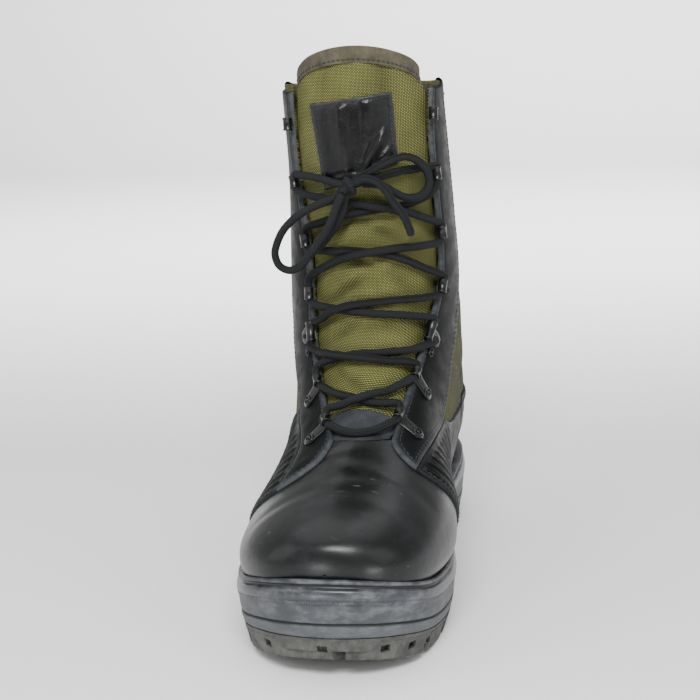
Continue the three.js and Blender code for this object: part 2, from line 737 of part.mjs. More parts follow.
function eyelet(row, side) {
  const [, tunnelLength, plateLength, rivets] = row;
  const { origin, upward, backward, outward } = eyeletFrame(row, side);
  const half = tunnelLength / 2;
  const profile = [
    [tunnelInner, -half], [tunnelOuter, -half], [tunnelOuter, half], [tunnelInner, half], [tunnelInner, -half],
  ].map(([r, h]) => new THREE.Vector2(r, h));
  const tube = new THREE.LatheGeometry(profile, eyeletSides);
  tube.translate(0, 0, tunnelOuter);
  const plate = new THREE.BoxGeometry(plateLength, Math.min(tunnelLength, 12) - 0.5, plateThickness);
  plate.translate(plateLength / 2, 0, plateThickness / 2);
  let solid = solidOf(tube).add(solidOf(plate));
  for (let i = 0; i < rivets; i++) {
    const rivet = new THREE.CylinderGeometry(2.2, 2.8, 1.1, eyeletSides).rotateX(Math.PI / 2);
    rivet.translate(plateLength - 3.6, (i - (rivets - 1) / 2) * 6.2, plateThickness + 0.5);
    solid = solid.add(solidOf(rivet));
  }
  const frame = new THREE.Matrix4().makeBasis(backward, upward, outward).setPosition(origin);
  const geometry = geometryOf(solid).applyMatrix4(frame);
  if (frame.determinant() < 0) mirrorFaces(geometry);
  return solidOf(geometry).subtract(forms.eyeletBed);
}

// Turns each face over after a mirroring move.
function mirrorFaces(geometry) {
  const position = geometry.attributes.position;
  for (let i = 0; i < position.count; i += 3) {
    const [a, c] = [i + 1, i + 2].map((k) => new THREE.Vector3().fromBufferAttribute(position, k));
    position.setXYZ(i + 1, c.x, c.y, c.z);
    position.setXYZ(i + 2, a.x, a.y, a.z);
  }
}

// Laces: a straight bar below, crossings above it, each from the top of one eyelet to the next one's foot.
function cord(points, steps, sides = 8, radius = laceRadius) {
  const curve = new THREE.CatmullRomCurve3(points, false, 'centripetal');
  const section = new THREE.Shape();
  section.absarc(0, 0, radius, 0, 2 * Math.PI, false);
  const geometry = new THREE.ExtrudeGeometry(section, { steps, extrudePath: curve, curveSegments: sides / 2 });
  return solidOf(geometry);
}

const laceLift = 0.5; // the lace's middle above the form where it lies on the tongue
const laceEdgeLift = 2.2; // and more of it where it climbs over the facing's edge
function laceEnd(level, side, upShift) {
  const { origin, upward, backward, outward } = eyeletFrame(eyeletRows[level], side);
  const reach = eyeletRows[level][1] / 2 + laceRadius + 2.7 * gap;
  const mouth = origin.clone().addScaledVector(outward, tunnelOuter).addScaledVector(upward, upShift * reach);
  const turn = mouth.clone().addScaledVector(backward, -4).addScaledVector(upward, upShift);
  return [mouth, turn];
}

function laceRun([start, startTurn], [end, endTurn], lift) {
  const points = [start, startTurn];
  for (const [share, climb] of [[0.3, 0.4], [0.5, 0], [0.7, 0.4]]) {
    const x = mix(start.x, end.x, share);
    points.push(frontPoint(x, mix(start.z, end.z, share), lift + climb * laceEdgeLift));
  }
  return [...points, endTurn, end];
}

function laceCrossing(level) {
  const up = laceRun(laceEnd(level, -1, 1), laceEnd(level + 1, 1, -1), laceLift + 1.2);
  const down = laceRun(laceEnd(level, 1, 1), laceEnd(level + 1, -1, -1), laceLift);
  return cord(up, 7).add(cord(down, 7));
}

function laceBar() {
  const sag = -3;
  const [left, right] = [laceEnd(0, -1, -1), laceEnd(0, 1, -1)];
  const points = laceRun(left, right, laceLift + 3);
  for (const p of points.slice(2, -2)) p.z += sag;
  return cord(points, 6);
}

// The bow: hand-placed points, [x, along, up]. Each cord leaves the knot's face.
const knotPlace = { x: -8.5, along: 149.5, up: 232 };
const bowPaths = {
  lace_bow_loop_lateral: [
    [-13, 149.5, 229], [-18.5, 150.5, 224.5], [-24.5, 151, 222.5], [-32.5, 151, 219],
    [-40, 150, 214.5], [-47.5, 148.5, 207.5], [-52, 147, 200], [-54, 146.5, 192.5],
    [-51.5, 147, 186], [-45.5, 148.5, 183.5], [-39, 150.5, 186], [-32.5, 152.5, 193],
    [-27, 154, 200], [-21.5, 155, 207], [-17.5, 155.5, 215], [-15, 155, 221.5],
    [-12.5, 154, 226.5],
  ],
  lace_bow_loop_medial: [
    [-3, 150.5, 236], [2.5, 150.5, 239], [9.5, 149, 243], [16.5, 145.5, 246], [23.5, 142, 247],
    [29, 139, 244.5], [33.5, 137, 239.5], [35.5, 136, 233], [34, 137, 227.5], [29.5, 140, 224],
    [23, 143.5, 224], [17, 147, 227.5], [12, 149.5, 231], [6, 150.5, 233], [1, 150.5, 233],
  ],
  lace_end_medial: [
    [-3.5, 154.7, 234.5], [1, 156.2, 236.5], [5.5, 156.7, 236], [9.5, 156.7, 234], [13.5, 156.2, 229.5],
    [17, 155.7, 224], [20.5, 154.7, 219], [24, 153.7, 212.5], [26.5, 152.7, 205],
  ],
  lace_end_lateral: [
    [-11.5, 148.5, 223], [-13, 148.5, 216.5], [-17, 148.5, 209.5], [-21.5, 148, 203.5],
    [-26, 147, 198.5],
  ],
};

function knot() {
  const ball = new THREE.SphereGeometry(4.4, 9, 6).scale(1.1, 0.75, 1);
  ball.translate(knotPlace.x, yOf(knotPlace.along + 0.8), knotPlace.up);
  return solidOf(ball);
}

// The two strands from the top eyelets in use to the knot.
function knotStrand(side) {
  const level = 5;
  const [start, turn] = laceEnd(level, side, 1);
  const end = new THREE.Vector3(knotPlace.x + side * 5.5, yOf(knotPlace.along - 5), knotPlace.up + 1.5);
  const points = [start, turn];
  for (const share of [0.4, 0.7]) {
    const [x, up] = [mix(start.x, end.x, share), mix(start.z, end.z, share) + 1.5];
    points.push(frontPoint(x, up, laceLift + patchThickness + 0.5));
  }
  return cord([...points, end], 6);
}

// Assembly
const boot = new THREE.Group();
const add = (name, solid, look) => boot.add(meshOf(name, solid, look));

const forms = {
  outer: formSolid(0),
  inner: formSolid(-wall),
  skinInner: formSolid(gap),
  skinOuter: formSolid(gap + overlay),
  eyeletBed: formSolid(gap + overlay + gap),
};
const skinSolid = forms.skinOuter.subtract(forms.skinInner);

add('outsole', outsole(), treadRubber);
add('midsole', midsole(), rubber);
add('insole', insole(), sockFelt);
add('upper', upper(forms), nylon);
add('tongue', tongue(), nylon);
add('tongue_tape', tongueTape(), tape);
add('tongue_patch', tonguePatch(), blackLeather);
const sideNames = [['medial', 1], ['lateral', -1]];
const coverSkin = skinSolid.subtract(belowRand());
for (const [name] of sideNames) {
  add(`facing_${name}`, facing(name, coverSkin), blackLeather);
  add(`quarter_panel_${name}`, quarterPanel(name, coverSkin), blackLeather);
}
add('heel_counter', heelCounter(coverSkin), blackLeather);
add('backstay', backstay(coverSkin), blackLeather);
add('collar_binding', collarBinding(forms), tape);
for (const [name, side] of sideNames) {
  eyeletRows.forEach((row, i) => add(`eyelet_${name}_${i + 1}`, eyelet(row, side), blackSteel));
}
add('lace_bar', laceBar(), laceCord);
for (let level = 0; level < 5; level++) add(`lace_crossing_${level + 1}`, laceCrossing(level), laceCord);
for (const [name, side] of sideNames) add(`lace_to_knot_${name}`, knotStrand(side), laceCord);
add('lace_knot', knot(), laceCord);
for (const [name, path] of Object.entries(bowPaths)) {
  const points = path.map(([x, along, up]) => new THREE.Vector3(x, yOf(along), up));
  add(name, cord(points, points.length), laceCord);
}

// The origin goes on the floor below the middle of everything but the free cords.
const cords = Object.keys(bowPaths);
const extent = new THREE.Box3();
for (const mesh of boot.children) {
  if (!cords.includes(mesh.name)) extent.expandByObject(mesh);
}
const centre = extent.getCenter(new THREE.Vector3());
for (const mesh of boot.children) mesh.geometry.translate(-centre.x, -centre.y, -extent.min.z);

export default boot;
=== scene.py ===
# Combat boot, right foot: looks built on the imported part. Metres in Blender, pattern tables in millimetres.
import functools
import math

import bmesh
import bpy
import numpy as np
from mathutils import Matrix, Vector


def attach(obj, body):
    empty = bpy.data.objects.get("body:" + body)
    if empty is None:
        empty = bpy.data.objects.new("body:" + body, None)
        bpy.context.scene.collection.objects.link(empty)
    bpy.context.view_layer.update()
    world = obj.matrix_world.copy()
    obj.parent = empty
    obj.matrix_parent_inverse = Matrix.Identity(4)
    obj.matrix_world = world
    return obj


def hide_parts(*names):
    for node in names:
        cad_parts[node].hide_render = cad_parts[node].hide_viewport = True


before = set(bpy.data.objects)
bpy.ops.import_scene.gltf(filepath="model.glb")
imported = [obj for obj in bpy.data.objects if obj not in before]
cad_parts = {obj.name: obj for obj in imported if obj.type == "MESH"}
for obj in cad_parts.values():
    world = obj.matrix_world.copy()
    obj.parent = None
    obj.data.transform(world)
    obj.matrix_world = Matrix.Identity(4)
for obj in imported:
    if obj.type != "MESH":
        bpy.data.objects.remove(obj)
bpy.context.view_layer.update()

mm = 0.001
sideShift = 3.722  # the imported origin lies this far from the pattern's own middle, in mm

bootSize = {
    'soleLength': 306,
    'wall': 2.2,
    'overlay': 1.4,
    'gap': 0.3,
}

# Sole from heel to toe, in mm: edge on both sides, joint of outsole and midsole, top of the rand, seat
soleColumns = ['along', 'medial', 'lateral', 'joint', 'rand', 'seat']
soleRows = [
    [0, 2, 2, 14.5, 50, 40],
    [3.5, 18, -14, 14.5, 50, 40],
    [14, 31.5, -27, 14, 49.5, 40],
    [31, 40.5, -36, 14, 48, 39.5],
    [57, 44, -40.5, 14.5, 46, 38.5],
    [86, 42.5, -44.5, 17, 43, 36],
    [116, 40.5, -49.5, 17, 40.5, 33.5],
    [145, 42.5, -55, 12.5, 38.5, 30.5],
    [172, 48, -60, 10, 37.5, 28],
    [198, 52.8, -62.5, 9.8, 37, 27],
    [223, 54.8, -63, 10, 38, 27.5],
    [247, 52.8, -60.5, 12, 39.5, 29.5],
    [268, 48.5, -54.5, 16, 43.2, 33],
    [285, 40, -44, 20, 48.5, 37.5],
    [298, 26.5, -30, 23, 53.2, 41.5],
    [304.3, 13.5, -16.5, 24.4, 55.6, 43.6],
    [306, -1.5, -1.5, 24.6, 56.2, 44],
]

# Lasted form of the upper from the toe's tip to above the collar, section by section, in mm
formColumns = [
    'lowAlong', 'lowUp', 'topAlong', 'topUp', 'medial', 'lateral', 'foot', 'ridge', 'widest',
    'medialCrown', 'lateralCrown', 'base',
]
formRows = [
    [300.5, 57, 300.5, 57, -1.5, -1.5, -1.5, -1.5, 0.5, 2, 2, 2.2],
    [298.8, 44, 298.5, 68.5, 14.5, -17.5, -1.5, -1.5, 0.47, 2.05, 2.05, 2.5],
    [293.5, 40.5, 292.5, 74.5, 27.5, -31, -1.5, -1, 0.44, 2.1, 2, 2.6],
    [284, 36.5, 281.5, 79.5, 38.5, -42, -1.5, -0.5, 0.41, 2.15, 1.9, 2.6],
    [269, 32, 265, 84, 47, -52, -2, 0, 0.38, 2.15, 1.8, 2.6],
    [249.5, 28.5, 244.5, 89.5, 52.8, -57.8, -3, 0, 0.36, 2.1, 1.65, 2.5],
    [226.5, 26, 221.5, 97, 55.8, -60, -4, 0, 0.34, 2, 1.55, 2.5],
    [202, 25.5, 201, 106.5, 53.8, -59.2, -4.5, 0.5, 0.32, 1.9, 1.5, 2.6],
    [176.5, 26.5, 183.5, 118, 49, -56, -4.5, 0.5, 0.32, 1.8, 1.5, 2.8],
    [149, 29, 169, 130.5, 44.5, -52.5, -4, 0.5, 0.33, 1.8, 1.6, 3],
    [118.5, 32, 158.5, 143, 42, -51.5, -3, 0.5, 0.36, 1.85, 1.75, 3],
    [86.5, 34.5, 151, 155.5, 42.5, -52.5, -1, 0.5, 0.4, 1.95, 1.9, 3],
    [55, 37.5, 146.6, 168, 43.5, -54, 1, 0.5, 0.44, 2.05, 2.05, 2.9],
    [27, 38.5, 144.2, 180, 44.5, -55.5, 2, 0.5, 0.48, 2.1, 2.1, 2.6],
    [8.5, 46, 143.2, 191.5, 44.8, -56, 2, 0, 0.5, 2.15, 2.15, 2.3],
    [4, 65, 142.7, 203, 44.8, -56.5, 1, -1, 0.5, 2.15, 2.15, 2.2],
    [6, 90, 142.7, 214, 44.6, -56, 0, -2, 0.5, 2.15, 2.15, 2.15],
    [10, 115, 143, 225.5, 44.2, -55.2, -1.5, -3, 0.5, 2.15, 2.15, 2.15],
    [12.8, 142, 143, 237.5, 43.2, -54.5, -3, -4, 0.5, 2.15, 2.15, 2.15],
    [13.2, 170, 143, 250, 41.8, -54, -4, -5, 0.5, 2.15, 2.15, 2.15],
    [12, 199, 142.7, 263, 40.3, -54.3, -5.5, -5.5, 0.5, 2.15, 2.15, 2.15],
    [10, 228, 142, 276.5, 38.8, -55.5, -7, -6, 0.5, 2.15, 2.15, 2.15],
    [8, 257, 141, 290, 37.2, -57, -9, -6, 0.5, 2.15, 2.15, 2.15],
    [6.2, 286, 139.5, 303, 36, -58.3, -10.5, -6, 0.5, 2.15, 2.15, 2.15],
    [5, 315, 138, 318, 35.3, -59.2, -11.5, -6, 0.5, 2.15, 2.15, 2.15],
]

# Open front seen from ahead: height, middle of the lacing, half its width, in mm
throatColumns = ['up', 'middle', 'half']
throatRows = [
    [100, 2, 0],
    [100.6, 2, 15],
    [103.5, 2, 18.8],
    [109, 0.8, 21],
    [126, -1.4, 27.6],
    [148, -0.8, 33],
    [171, 1, 35.8],
    [202, 0, 36.8],
    [234, -3.8, 38.4],
    [267, -6, 39],
    [300, -5.5, 40],
]

# Pattern lines seen from the side, as (along, up) in mm
patternLine = {
    'facingBackMedial': [(82, 330), (80, 288), (79, 240), (79, 200), (80, 174), (85, 153), (94, 136),
                         (107, 120),
                         (125, 102), (145, 92.5), (171, 92), (200, 91), (222, 87.5)],
    'facingBackLateral': [(82, 330), (80, 288), (79, 240), (79, 200), (82, 174), (90, 153), (103, 134),
                          (122, 116), (144, 105), (162, 98), (176, 95.5), (197, 90.5), (214, 84), (231, 77)],
    'wingMedial': [(207, 100), (213.5, 96.3), (219, 92), (222, 87.5), (220.5, 81), (213, 70), (203, 57),
                   (192, 43), (184, 30)],
    'wingLateral': [(207, 100), (215, 96.2), (221, 93), (227, 89.3), (231.5, 84), (231, 77), (224, 66),
                    (214, 54), (204, 42), (196, 30)],
    'quarterTop': [(66, 88), (84, 84.5), (104, 84.5), (126, 87), (146, 97), (158, 112)],
    'counterTop': [(-20, 104), (4, 103), (24, 99), (50, 90), (81, 84)],
    'collar': [(-20, 281), (20, 281.5), (60, 284), (90, 287.5), (118, 288), (150, 286)],
}


def naturalCurve(values):
    # A natural cubic through evenly numbered values, read at any place between them
    v = np.array(values, float)
    count = len(v)
    system, load = np.eye(count), np.zeros(count)
    for i in range(1, count - 1):
        system[i, i - 1:i + 2] = (0.5, 2, 0.5)
        load[i] = 3 * (v[i + 1] - 2 * v[i] + v[i - 1])
    bend = np.linalg.solve(system, load)

    def read(place):
        place = np.asarray(place, float)
        i = np.clip(np.floor(place).astype(int), 0, count - 2)
        b = place - i
        a = 1 - b
        return a * v[i] + b * v[i + 1] + ((a**3 - a) * bend[i] + (b**3 - b) * bend[i + 1]) / 6

    return read


def tableCurves(columns, rows, startSwap=None, endSwap=None, ghosts=3):
    # Rows mirrored past an end make that end come out round
    def mirrored(some, pairs):
        turned = [list(row) for row in reversed(some)]
        for row in turned:
            for one, other in pairs:
                i, j = columns.index(one), columns.index(other)
                row[i], row[j] = row[j], row[i]
        return turned

    before = mirrored(rows[1:1 + ghosts], startSwap) if startSwap else []
    after = mirrored(rows[-1 - ghosts:-1], endSwap) if endSwap else []
    whole = before + [list(row) for row in rows] + after
    curves = {}
    for i, name in enumerate(columns):
        curve = naturalCurve([row[i] for row in whole])
        curves[name] = lambda place, curve=curve: curve(np.asarray(place, float) + len(before))
    return curves


sidesSwap = [('medial', 'lateral')]
noseSwap = [('lowAlong', 'topAlong'), ('lowUp', 'topUp'), ('medial', 'lateral')]
sole = tableCurves(soleColumns, soleRows, sidesSwap, sidesSwap)
form = tableCurves(formColumns, formRows, noseSwap)
throat = tableCurves(throatColumns, throatRows)
lastSection = len(formRows) - 1
lastSolePlace = len(soleRows) - 1


def yOf(along):
    # Distance from the heel to y, or y to the distance
    return bootSize['soleLength'] / 2 - along


solePlaces = np.linspace(0, lastSolePlace, 600)
soleAlongs = sole['along'](solePlaces)


def soleAt(column, along):
    # A height of the sole at a distance from the heel
    return np.interp(along, soleAlongs, sole[column](solePlaces))


throatPlaces = np.linspace(1, len(throatRows) - 1, 300)


def throatAt(up):
    # Middle and half width of the lacing's opening at a height
    ups = throat['up'](throatPlaces)
    return np.interp(up, ups, throat['middle'](throatPlaces)), np.interp(up, ups,
            throat['half'](throatPlaces))


def formPoint(section, angle):
    # 0 is the top or front of a section, half a turn its low or back end, positive the medial side
    section, angle = np.broadcast_arrays(np.asarray(section, float), np.asarray(angle, float))
    angle = (angle + np.pi) % (2 * np.pi) - np.pi
    turn = np.abs(angle)
    medial = angle >= 0
    read = {name: form[name](section) for name in formColumns}
    rise = np.cos(turn)
    crown = np.where(medial, read['medialCrown'], read['lateralCrown'])
    square = 2 / np.where(rise > 0, crown, read['base'])
    span = np.where(rise > 0, 1 - read['widest'], read['widest'])
    share = read['widest'] + span * np.sign(rise) * np.abs(rise)**square
    lean = read['ridge'] - read['foot']
    reach = np.where(medial, read['medial'], read['lateral']) - read['foot'] - lean * read['widest']
    x = read['foot'] + lean * share + reach * np.abs(np.sin(turn))**square
    along = read['lowAlong'] + (read['topAlong'] - read['lowAlong']) * share
    up = read['lowUp'] + (read['topUp'] - read['lowUp']) * share
    return np.stack([x, yOf(along), up], -1)


def unit(vectors):
    return vectors / np.maximum(np.linalg.norm(vectors, axis=-1, keepdims=True), 1e-9)


def formNormal(section, angle, nudge=0.02):
    safe = np.maximum(section, 3 * nudge)
    across = formPoint(safe, angle + nudge) - formPoint(safe, angle - nudge)
    onward = formPoint(safe + nudge, angle) - formPoint(safe - nudge, angle)
    normal = unit(np.cross(across, onward))
    tip = np.broadcast_to(np.asarray(section, float) < nudge, normal.shape[:-1])
    normal[tip] = (0, -1, 0)
    return normal


def offForm(section, angle, height):
    section, angle = np.asarray(section, float), np.asarray(angle, float)
    return formPoint(section, angle) + formNormal(section, angle) * np.asarray(height)[..., None]


sampleSections, sampleAngles = np.meshgrid(
    np.linspace(0.3, lastSection - 0.1, 130), np.radians(np.arange(-178, 180, 4)), indexing='ij')
samplePoints = formPoint(sampleSections, sampleAngles)
sampleNormals = formNormal(sampleSections, sampleAngles)


def onForm(targets, seenFrom):
    # Section and angle of points seen from 'front' or 'back' as (x, up), or from 'medial' or 'lateral'
    # as (along, up): the nearest sample, then a few steps of Newton's method
    targets = np.atleast_2d(np.asarray(targets, float))
    facing = {'front': (1, -1), 'back': (1, 1), 'medial': (0, 1), 'lateral': (0, -1)}[seenFrom]
    flat = [0, 2] if facing[0] == 1 else [1, 2]
    goal = targets.copy()
    if facing[0] == 0:
        goal[:, 0] = yOf(targets[:, 0])
    towards = sampleNormals[..., facing[0]] * facing[1] > 0.02
    guesses = np.stack([sampleSections[towards], sampleAngles[towards]], -1)
    seen = samplePoints[towards][:, flat]
    found = np.empty_like(goal)
    for start in range(0, len(goal), 2000):
        part = goal[start:start + 2000]
        nearest = ((part[:, None, :] - seen[None])**2).sum(-1).argmin(1)
        found[start:start + 2000] = guesses[nearest]
    h = 1e-3
    for _ in range(14):
        s, a = found[:, 0], found[:, 1]
        here = formPoint(s, a)[:, flat]
        ds = (formPoint(s + h, a)[:, flat] - here) / h
        da = (formPoint(s, a + h)[:, flat] - here) / h
        miss = goal - here
        det = ds[:, 0] * da[:, 1] - ds[:, 1] * da[:, 0]
        det = np.where(np.abs(det) < 1e-3, np.copysign(1e-3, det), det)
        stepS = (miss[:, 0] * da[:, 1] - miss[:, 1] * da[:, 0]) / det
        stepA = (ds[:, 0] * miss[:, 1] - ds[:, 1] * miss[:, 0]) / det
        found[:, 0] = np.clip(s + np.clip(stepS, -0.4, 0.4), 0.02, lastSection)
        found[:, 1] = a + np.clip(stepA, -0.15, 0.15)
    return found


# Soft creases that a worn boot has: section, half width in sections, angles from and to, depth in mm
creases = [
    {'at': 6.0, 'slope': 0.35, 'width': 0.16, 'from': -1.0, 'to': 0.2, 'depth': 0.35},
    {'at': 5.35, 'slope': -0.3, 'width': 0.2, 'from': -0.3, 'to': 1.1, 'depth': 0.4},
    {'at': 4.7, 'slope': 0.25, 'width': 0.22, 'from': -1.3, 'to': 0.4, 'depth': 0.3},
    {'at': 4.1, 'slope': -0.15, 'width': 0.3, 'from': 0.1, 'to': 1.2, 'depth': 0.35},
    {'at': 13.2, 'slope': 0.25, 'width': 0.3, 'from': 1.35, 'to': 2.7, 'depth': 0.9},
    {'at': 14.4, 'slope': 0.2, 'width': 0.3, 'from': 1.3, 'to': 2.4, 'depth': 0.8},
    {'at': 16.6, 'slope': -0.3, 'width': 0.35, 'from': 1.5, 'to': 3.0, 'depth': 0.9},
    {'at': 18.7, 'slope': 0.3, 'width': 0.4, 'from': 1.5, 'to': 2.6, 'depth': 0.7},
    {'at': 13.0, 'slope': -0.25, 'width': 0.3, 'from': -2.7, 'to': -1.35, 'depth': 0.9},
    {'at': 14.6, 'slope': -0.2, 'width': 0.3, 'from': -2.4, 'to': -1.3, 'depth': 0.8},
    {'at': 16.9, 'slope': 0.3, 'width': 0.35, 'from': -3.0, 'to': -1.5, 'depth': 0.9},
]


def creaseDepth(section, angle):
    angle = (np.asarray(angle, float) + np.pi) % (2 * np.pi) - np.pi
    total = np.zeros(np.broadcast(section, angle).shape)
    for crease in creases:
        middle = (crease['from'] + crease['to']) / 2
        half = (crease['to'] - crease['from']) / 2
        along = np.clip(1 - ((angle - middle) / half)**2, 0, 1)
        off = (section - crease['at'] - crease['slope'] * (angle - middle)) / crease['width']
        total -= crease['depth'] * along * (np.exp(-off**2) - 0.45 * np.exp(-(np.abs(off) - 1.6)**2))
    return total


def formAt(pairs):
    return formPoint(pairs[..., 0], pairs[..., 1])


def offFormAt(pairs, height):
    return offForm(pairs[..., 0], pairs[..., 1], np.asarray(height))


def skinPoint(section, angle, height):
    # A point at a height above the creased form, in mm
    section, angle = np.broadcast_arrays(np.asarray(section, float), np.asarray(angle, float))
    return offForm(section, angle, np.asarray(height) + creaseDepth(section, angle))


def skinAt(pairs, height):
    return skinPoint(pairs[..., 0], pairs[..., 1], height)


def runOf(points):
    return np.concatenate([[0], np.cumsum(np.linalg.norm(np.diff(points, axis=0), axis=1))])


def resample(edge, fractions):
    # An edge of (section, angle) pairs read at fractions of its real length
    run = runOf(skinAt(edge, 0))
    at = np.asarray(fractions) * run[-1]
    return np.stack([np.interp(at, run, edge[:, 0]), np.interp(at, run, edge[:, 1])], -1)


def smoothFlat(points, pieces=12):
    # A Catmull-Rom line through flat points
    p = np.array(points, float)
    p = np.vstack([2 * p[0] - p[1], p, 2 * p[-1] - p[-2]])
    out = []
    for i in range(1, len(p) - 2):
        for t in np.arange(pieces) / pieces:
            out.append(0.5 * (2 * p[i] + (p[i + 1] - p[i - 1]) * t
                              + (2 * p[i - 1] - 5 * p[i] + 4 * p[i + 1] - p[i + 2]) * t**2
                              + (3 * p[i] - p[i - 1] - 3 * p[i + 1] + p[i + 2]) * t**3))
    out.append(p[-2])
    return np.array(out)


def softLine(points, step):
    # A centripetal Catmull-Rom line through points in space, for cords
    p = np.array(points, float)
    p = np.vstack([2 * p[0] - p[1], p, 2 * p[-1] - p[-2]])
    out = []
    for i in range(1, len(p) - 2):
        four = p[i - 1:i + 3]
        knots = np.concatenate([[0], np.cumsum(np.maximum(np.linalg.norm(np.diff(four, axis=0), axis=1),
                1e-6)**0.5)])
        count = max(2, int(np.ceil(np.linalg.norm(four[2] - four[1]) / step)))
        t = np.linspace(knots[1], knots[2], count, endpoint=False)[:, None]

        def blend(a, b, i0, i1):
            share = (t - knots[i0]) / (knots[i1] - knots[i0])
            return (knots[i1] - t) / (knots[i1] - knots[i0]) * a + share * b

        a1, a2, a3 = blend(four[0], four[1], 0, 1), blend(four[1], four[2], 1, 2), blend(four[2], four[3], 2,
                3)
        b1, b2 = blend(a1, a2, 0, 2), blend(a2, a3, 1, 3)
        out.append(blend(b1, b2, 1, 2))
    return np.vstack(out + [p[-2:-1]])


def gridFaces(rows, columns, closed=False):
    faces = []
    for r in range(rows - 1):
        for c in range(columns if closed else columns - 1):
            d = (c + 1) % columns
            faces.append((r * columns + c, r * columns + d, (r + 1) * columns + d, (r + 1) * columns + c))
    return faces


def makePiece(name, points, faces, material, slotName, uv=None, wear=None, smooth=True):
    # points in mm in the pattern's place; uv in metres on the surface, for the patterns of the materials
    mesh = bpy.data.meshes.new(name)
    placed = (np.asarray(points, float).reshape(-1, 3) + (sideShift, 0, 0)) * mm
    mesh.from_pydata(placed.tolist(), [], faces)
    if uv is not None:
        layer = mesh.uv_layers.new(name='lay')
        loops = np.zeros(len(mesh.loops), int)
        mesh.loops.foreach_get('vertex_index', loops)
        layer.data.foreach_set('uv', np.asarray(uv, np.float32).reshape(-1, 2)[loops].ravel())
    # The point attribute carries rubbed edge wear on the leather pieces and painted fold shade on the
    # tongue's cloth
    if wear is not None:
        layer = mesh.attributes.new('wear', 'FLOAT', 'POINT')
        layer.data.foreach_set('value', np.asarray(wear, np.float32).ravel())
    mesh.validate()
    if smooth:
        mesh.polygons.foreach_set('use_smooth', [True] * len(mesh.polygons))
    for one in material if isinstance(material, list) else [material]:
        mesh.materials.append(one)
    piece = bpy.data.objects.new(name, mesh)
    bpy.context.scene.collection.objects.link(piece)
    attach(piece, 'root')
    return piece


def facedOut(points, faces):
    # Faces turned so that the closed body's volume is positive
    p = np.asarray(points, float).reshape(-1, 3)
    total = 0.0
    for face in faces:
        for i in range(1, len(face) - 1):
            total += np.dot(p[face[0]], np.cross(p[face[i]], p[face[i + 1]]))
    return faces if total > 0 else [tuple(reversed(face)) for face in faces]


def spread(length, roll, step):
    # Fractions of a length, close together where its two ends roll over
    near = np.array([0, 0.08, 0.22, 0.42, 0.68, 1.0, 1.5]) * roll
    if length < 3.2 * roll:
        return np.linspace(0, 1, 9)
    count = max(3, int(np.ceil((length - 2 * near[-1]) / step)) + 1)
    inner = np.linspace(near[-1], length - near[-1], count)
    return np.concatenate([near[:-1], inner, length - near[-2::-1]]) / length


def rolled(rise, least=0.0):
    # Share of the thickness on a rounded edge; rise goes from 0 at the edge to 1
    return np.sqrt(np.clip(1 - (1 - rise)**2, least, 1))


def raisedPanel(name, edgeA, edgeB, look, relief=None):
    # A leather piece between two edges given as (section, angle), rolled over at its rim
    lengths = [runOf(skinAt(e, 0))[-1] for e in (edgeA, edgeB)]
    rows = spread(max(lengths), look['roll'], look['step'])
    a, b = resample(edgeA, rows), resample(edgeB, rows)
    widths = np.linalg.norm(skinAt(a, 0) - skinAt(b, 0), axis=1)
    columns = spread(widths.max(), look['roll'], look['step'])
    place = a[:, None] * (1 - columns[None, :, None]) + b[:, None] * columns[None, :, None]
    flat = skinAt(place, look['seat'])
    across = np.linalg.norm(np.diff(flat, axis=1), axis=2)
    along = np.linalg.norm(np.diff(flat, axis=0), axis=2)
    pad = lambda steps, axis: np.concatenate([np.zeros_like(np.take(steps, [0], axis)), np.cumsum(steps,
            axis)], axis)
    fromA, fromStart = pad(across, 1), pad(along, 0)
    fromB, fromEnd = fromA[:, -1:] - fromA, fromStart[-1:] - fromStart
    nearest = np.minimum(np.minimum(fromA, fromB), np.minimum(fromStart, fromEnd))
    rise = np.clip(nearest / look['roll'], 0, 1)
    height = look['seat'] + look['thickness'] * rolled(rise)
    if relief is not None:
        height = height + relief(fromA, fromB, fromStart, fromEnd, flat) * np.clip(rise * 1.5, 0, 1)
    wear = np.exp(-np.minimum(fromA, fromB) / look['wearReach'])
    padded = lambda grid: np.pad(grid, [(1, 1), (1, 1)] + [(0, 0)] * (grid.ndim - 2), mode='edge')
    place, height, wear = padded(place), padded(height), padded(wear)
    uv = padded(np.stack([fromStart, fromA], -1)) * mm
    for rim in (height[0], height[-1], height[:, 0], height[:, -1]):
        rim[:] = look['seat'] - 0.7
    points = skinAt(place, height)
    faces = gridFaces(*height.shape)
    if look.get('flip'):
        faces = [tuple(reversed(f)) for f in faces]
    return makePiece(name, points, faces, look['material'], look['slot'], uv, wear)


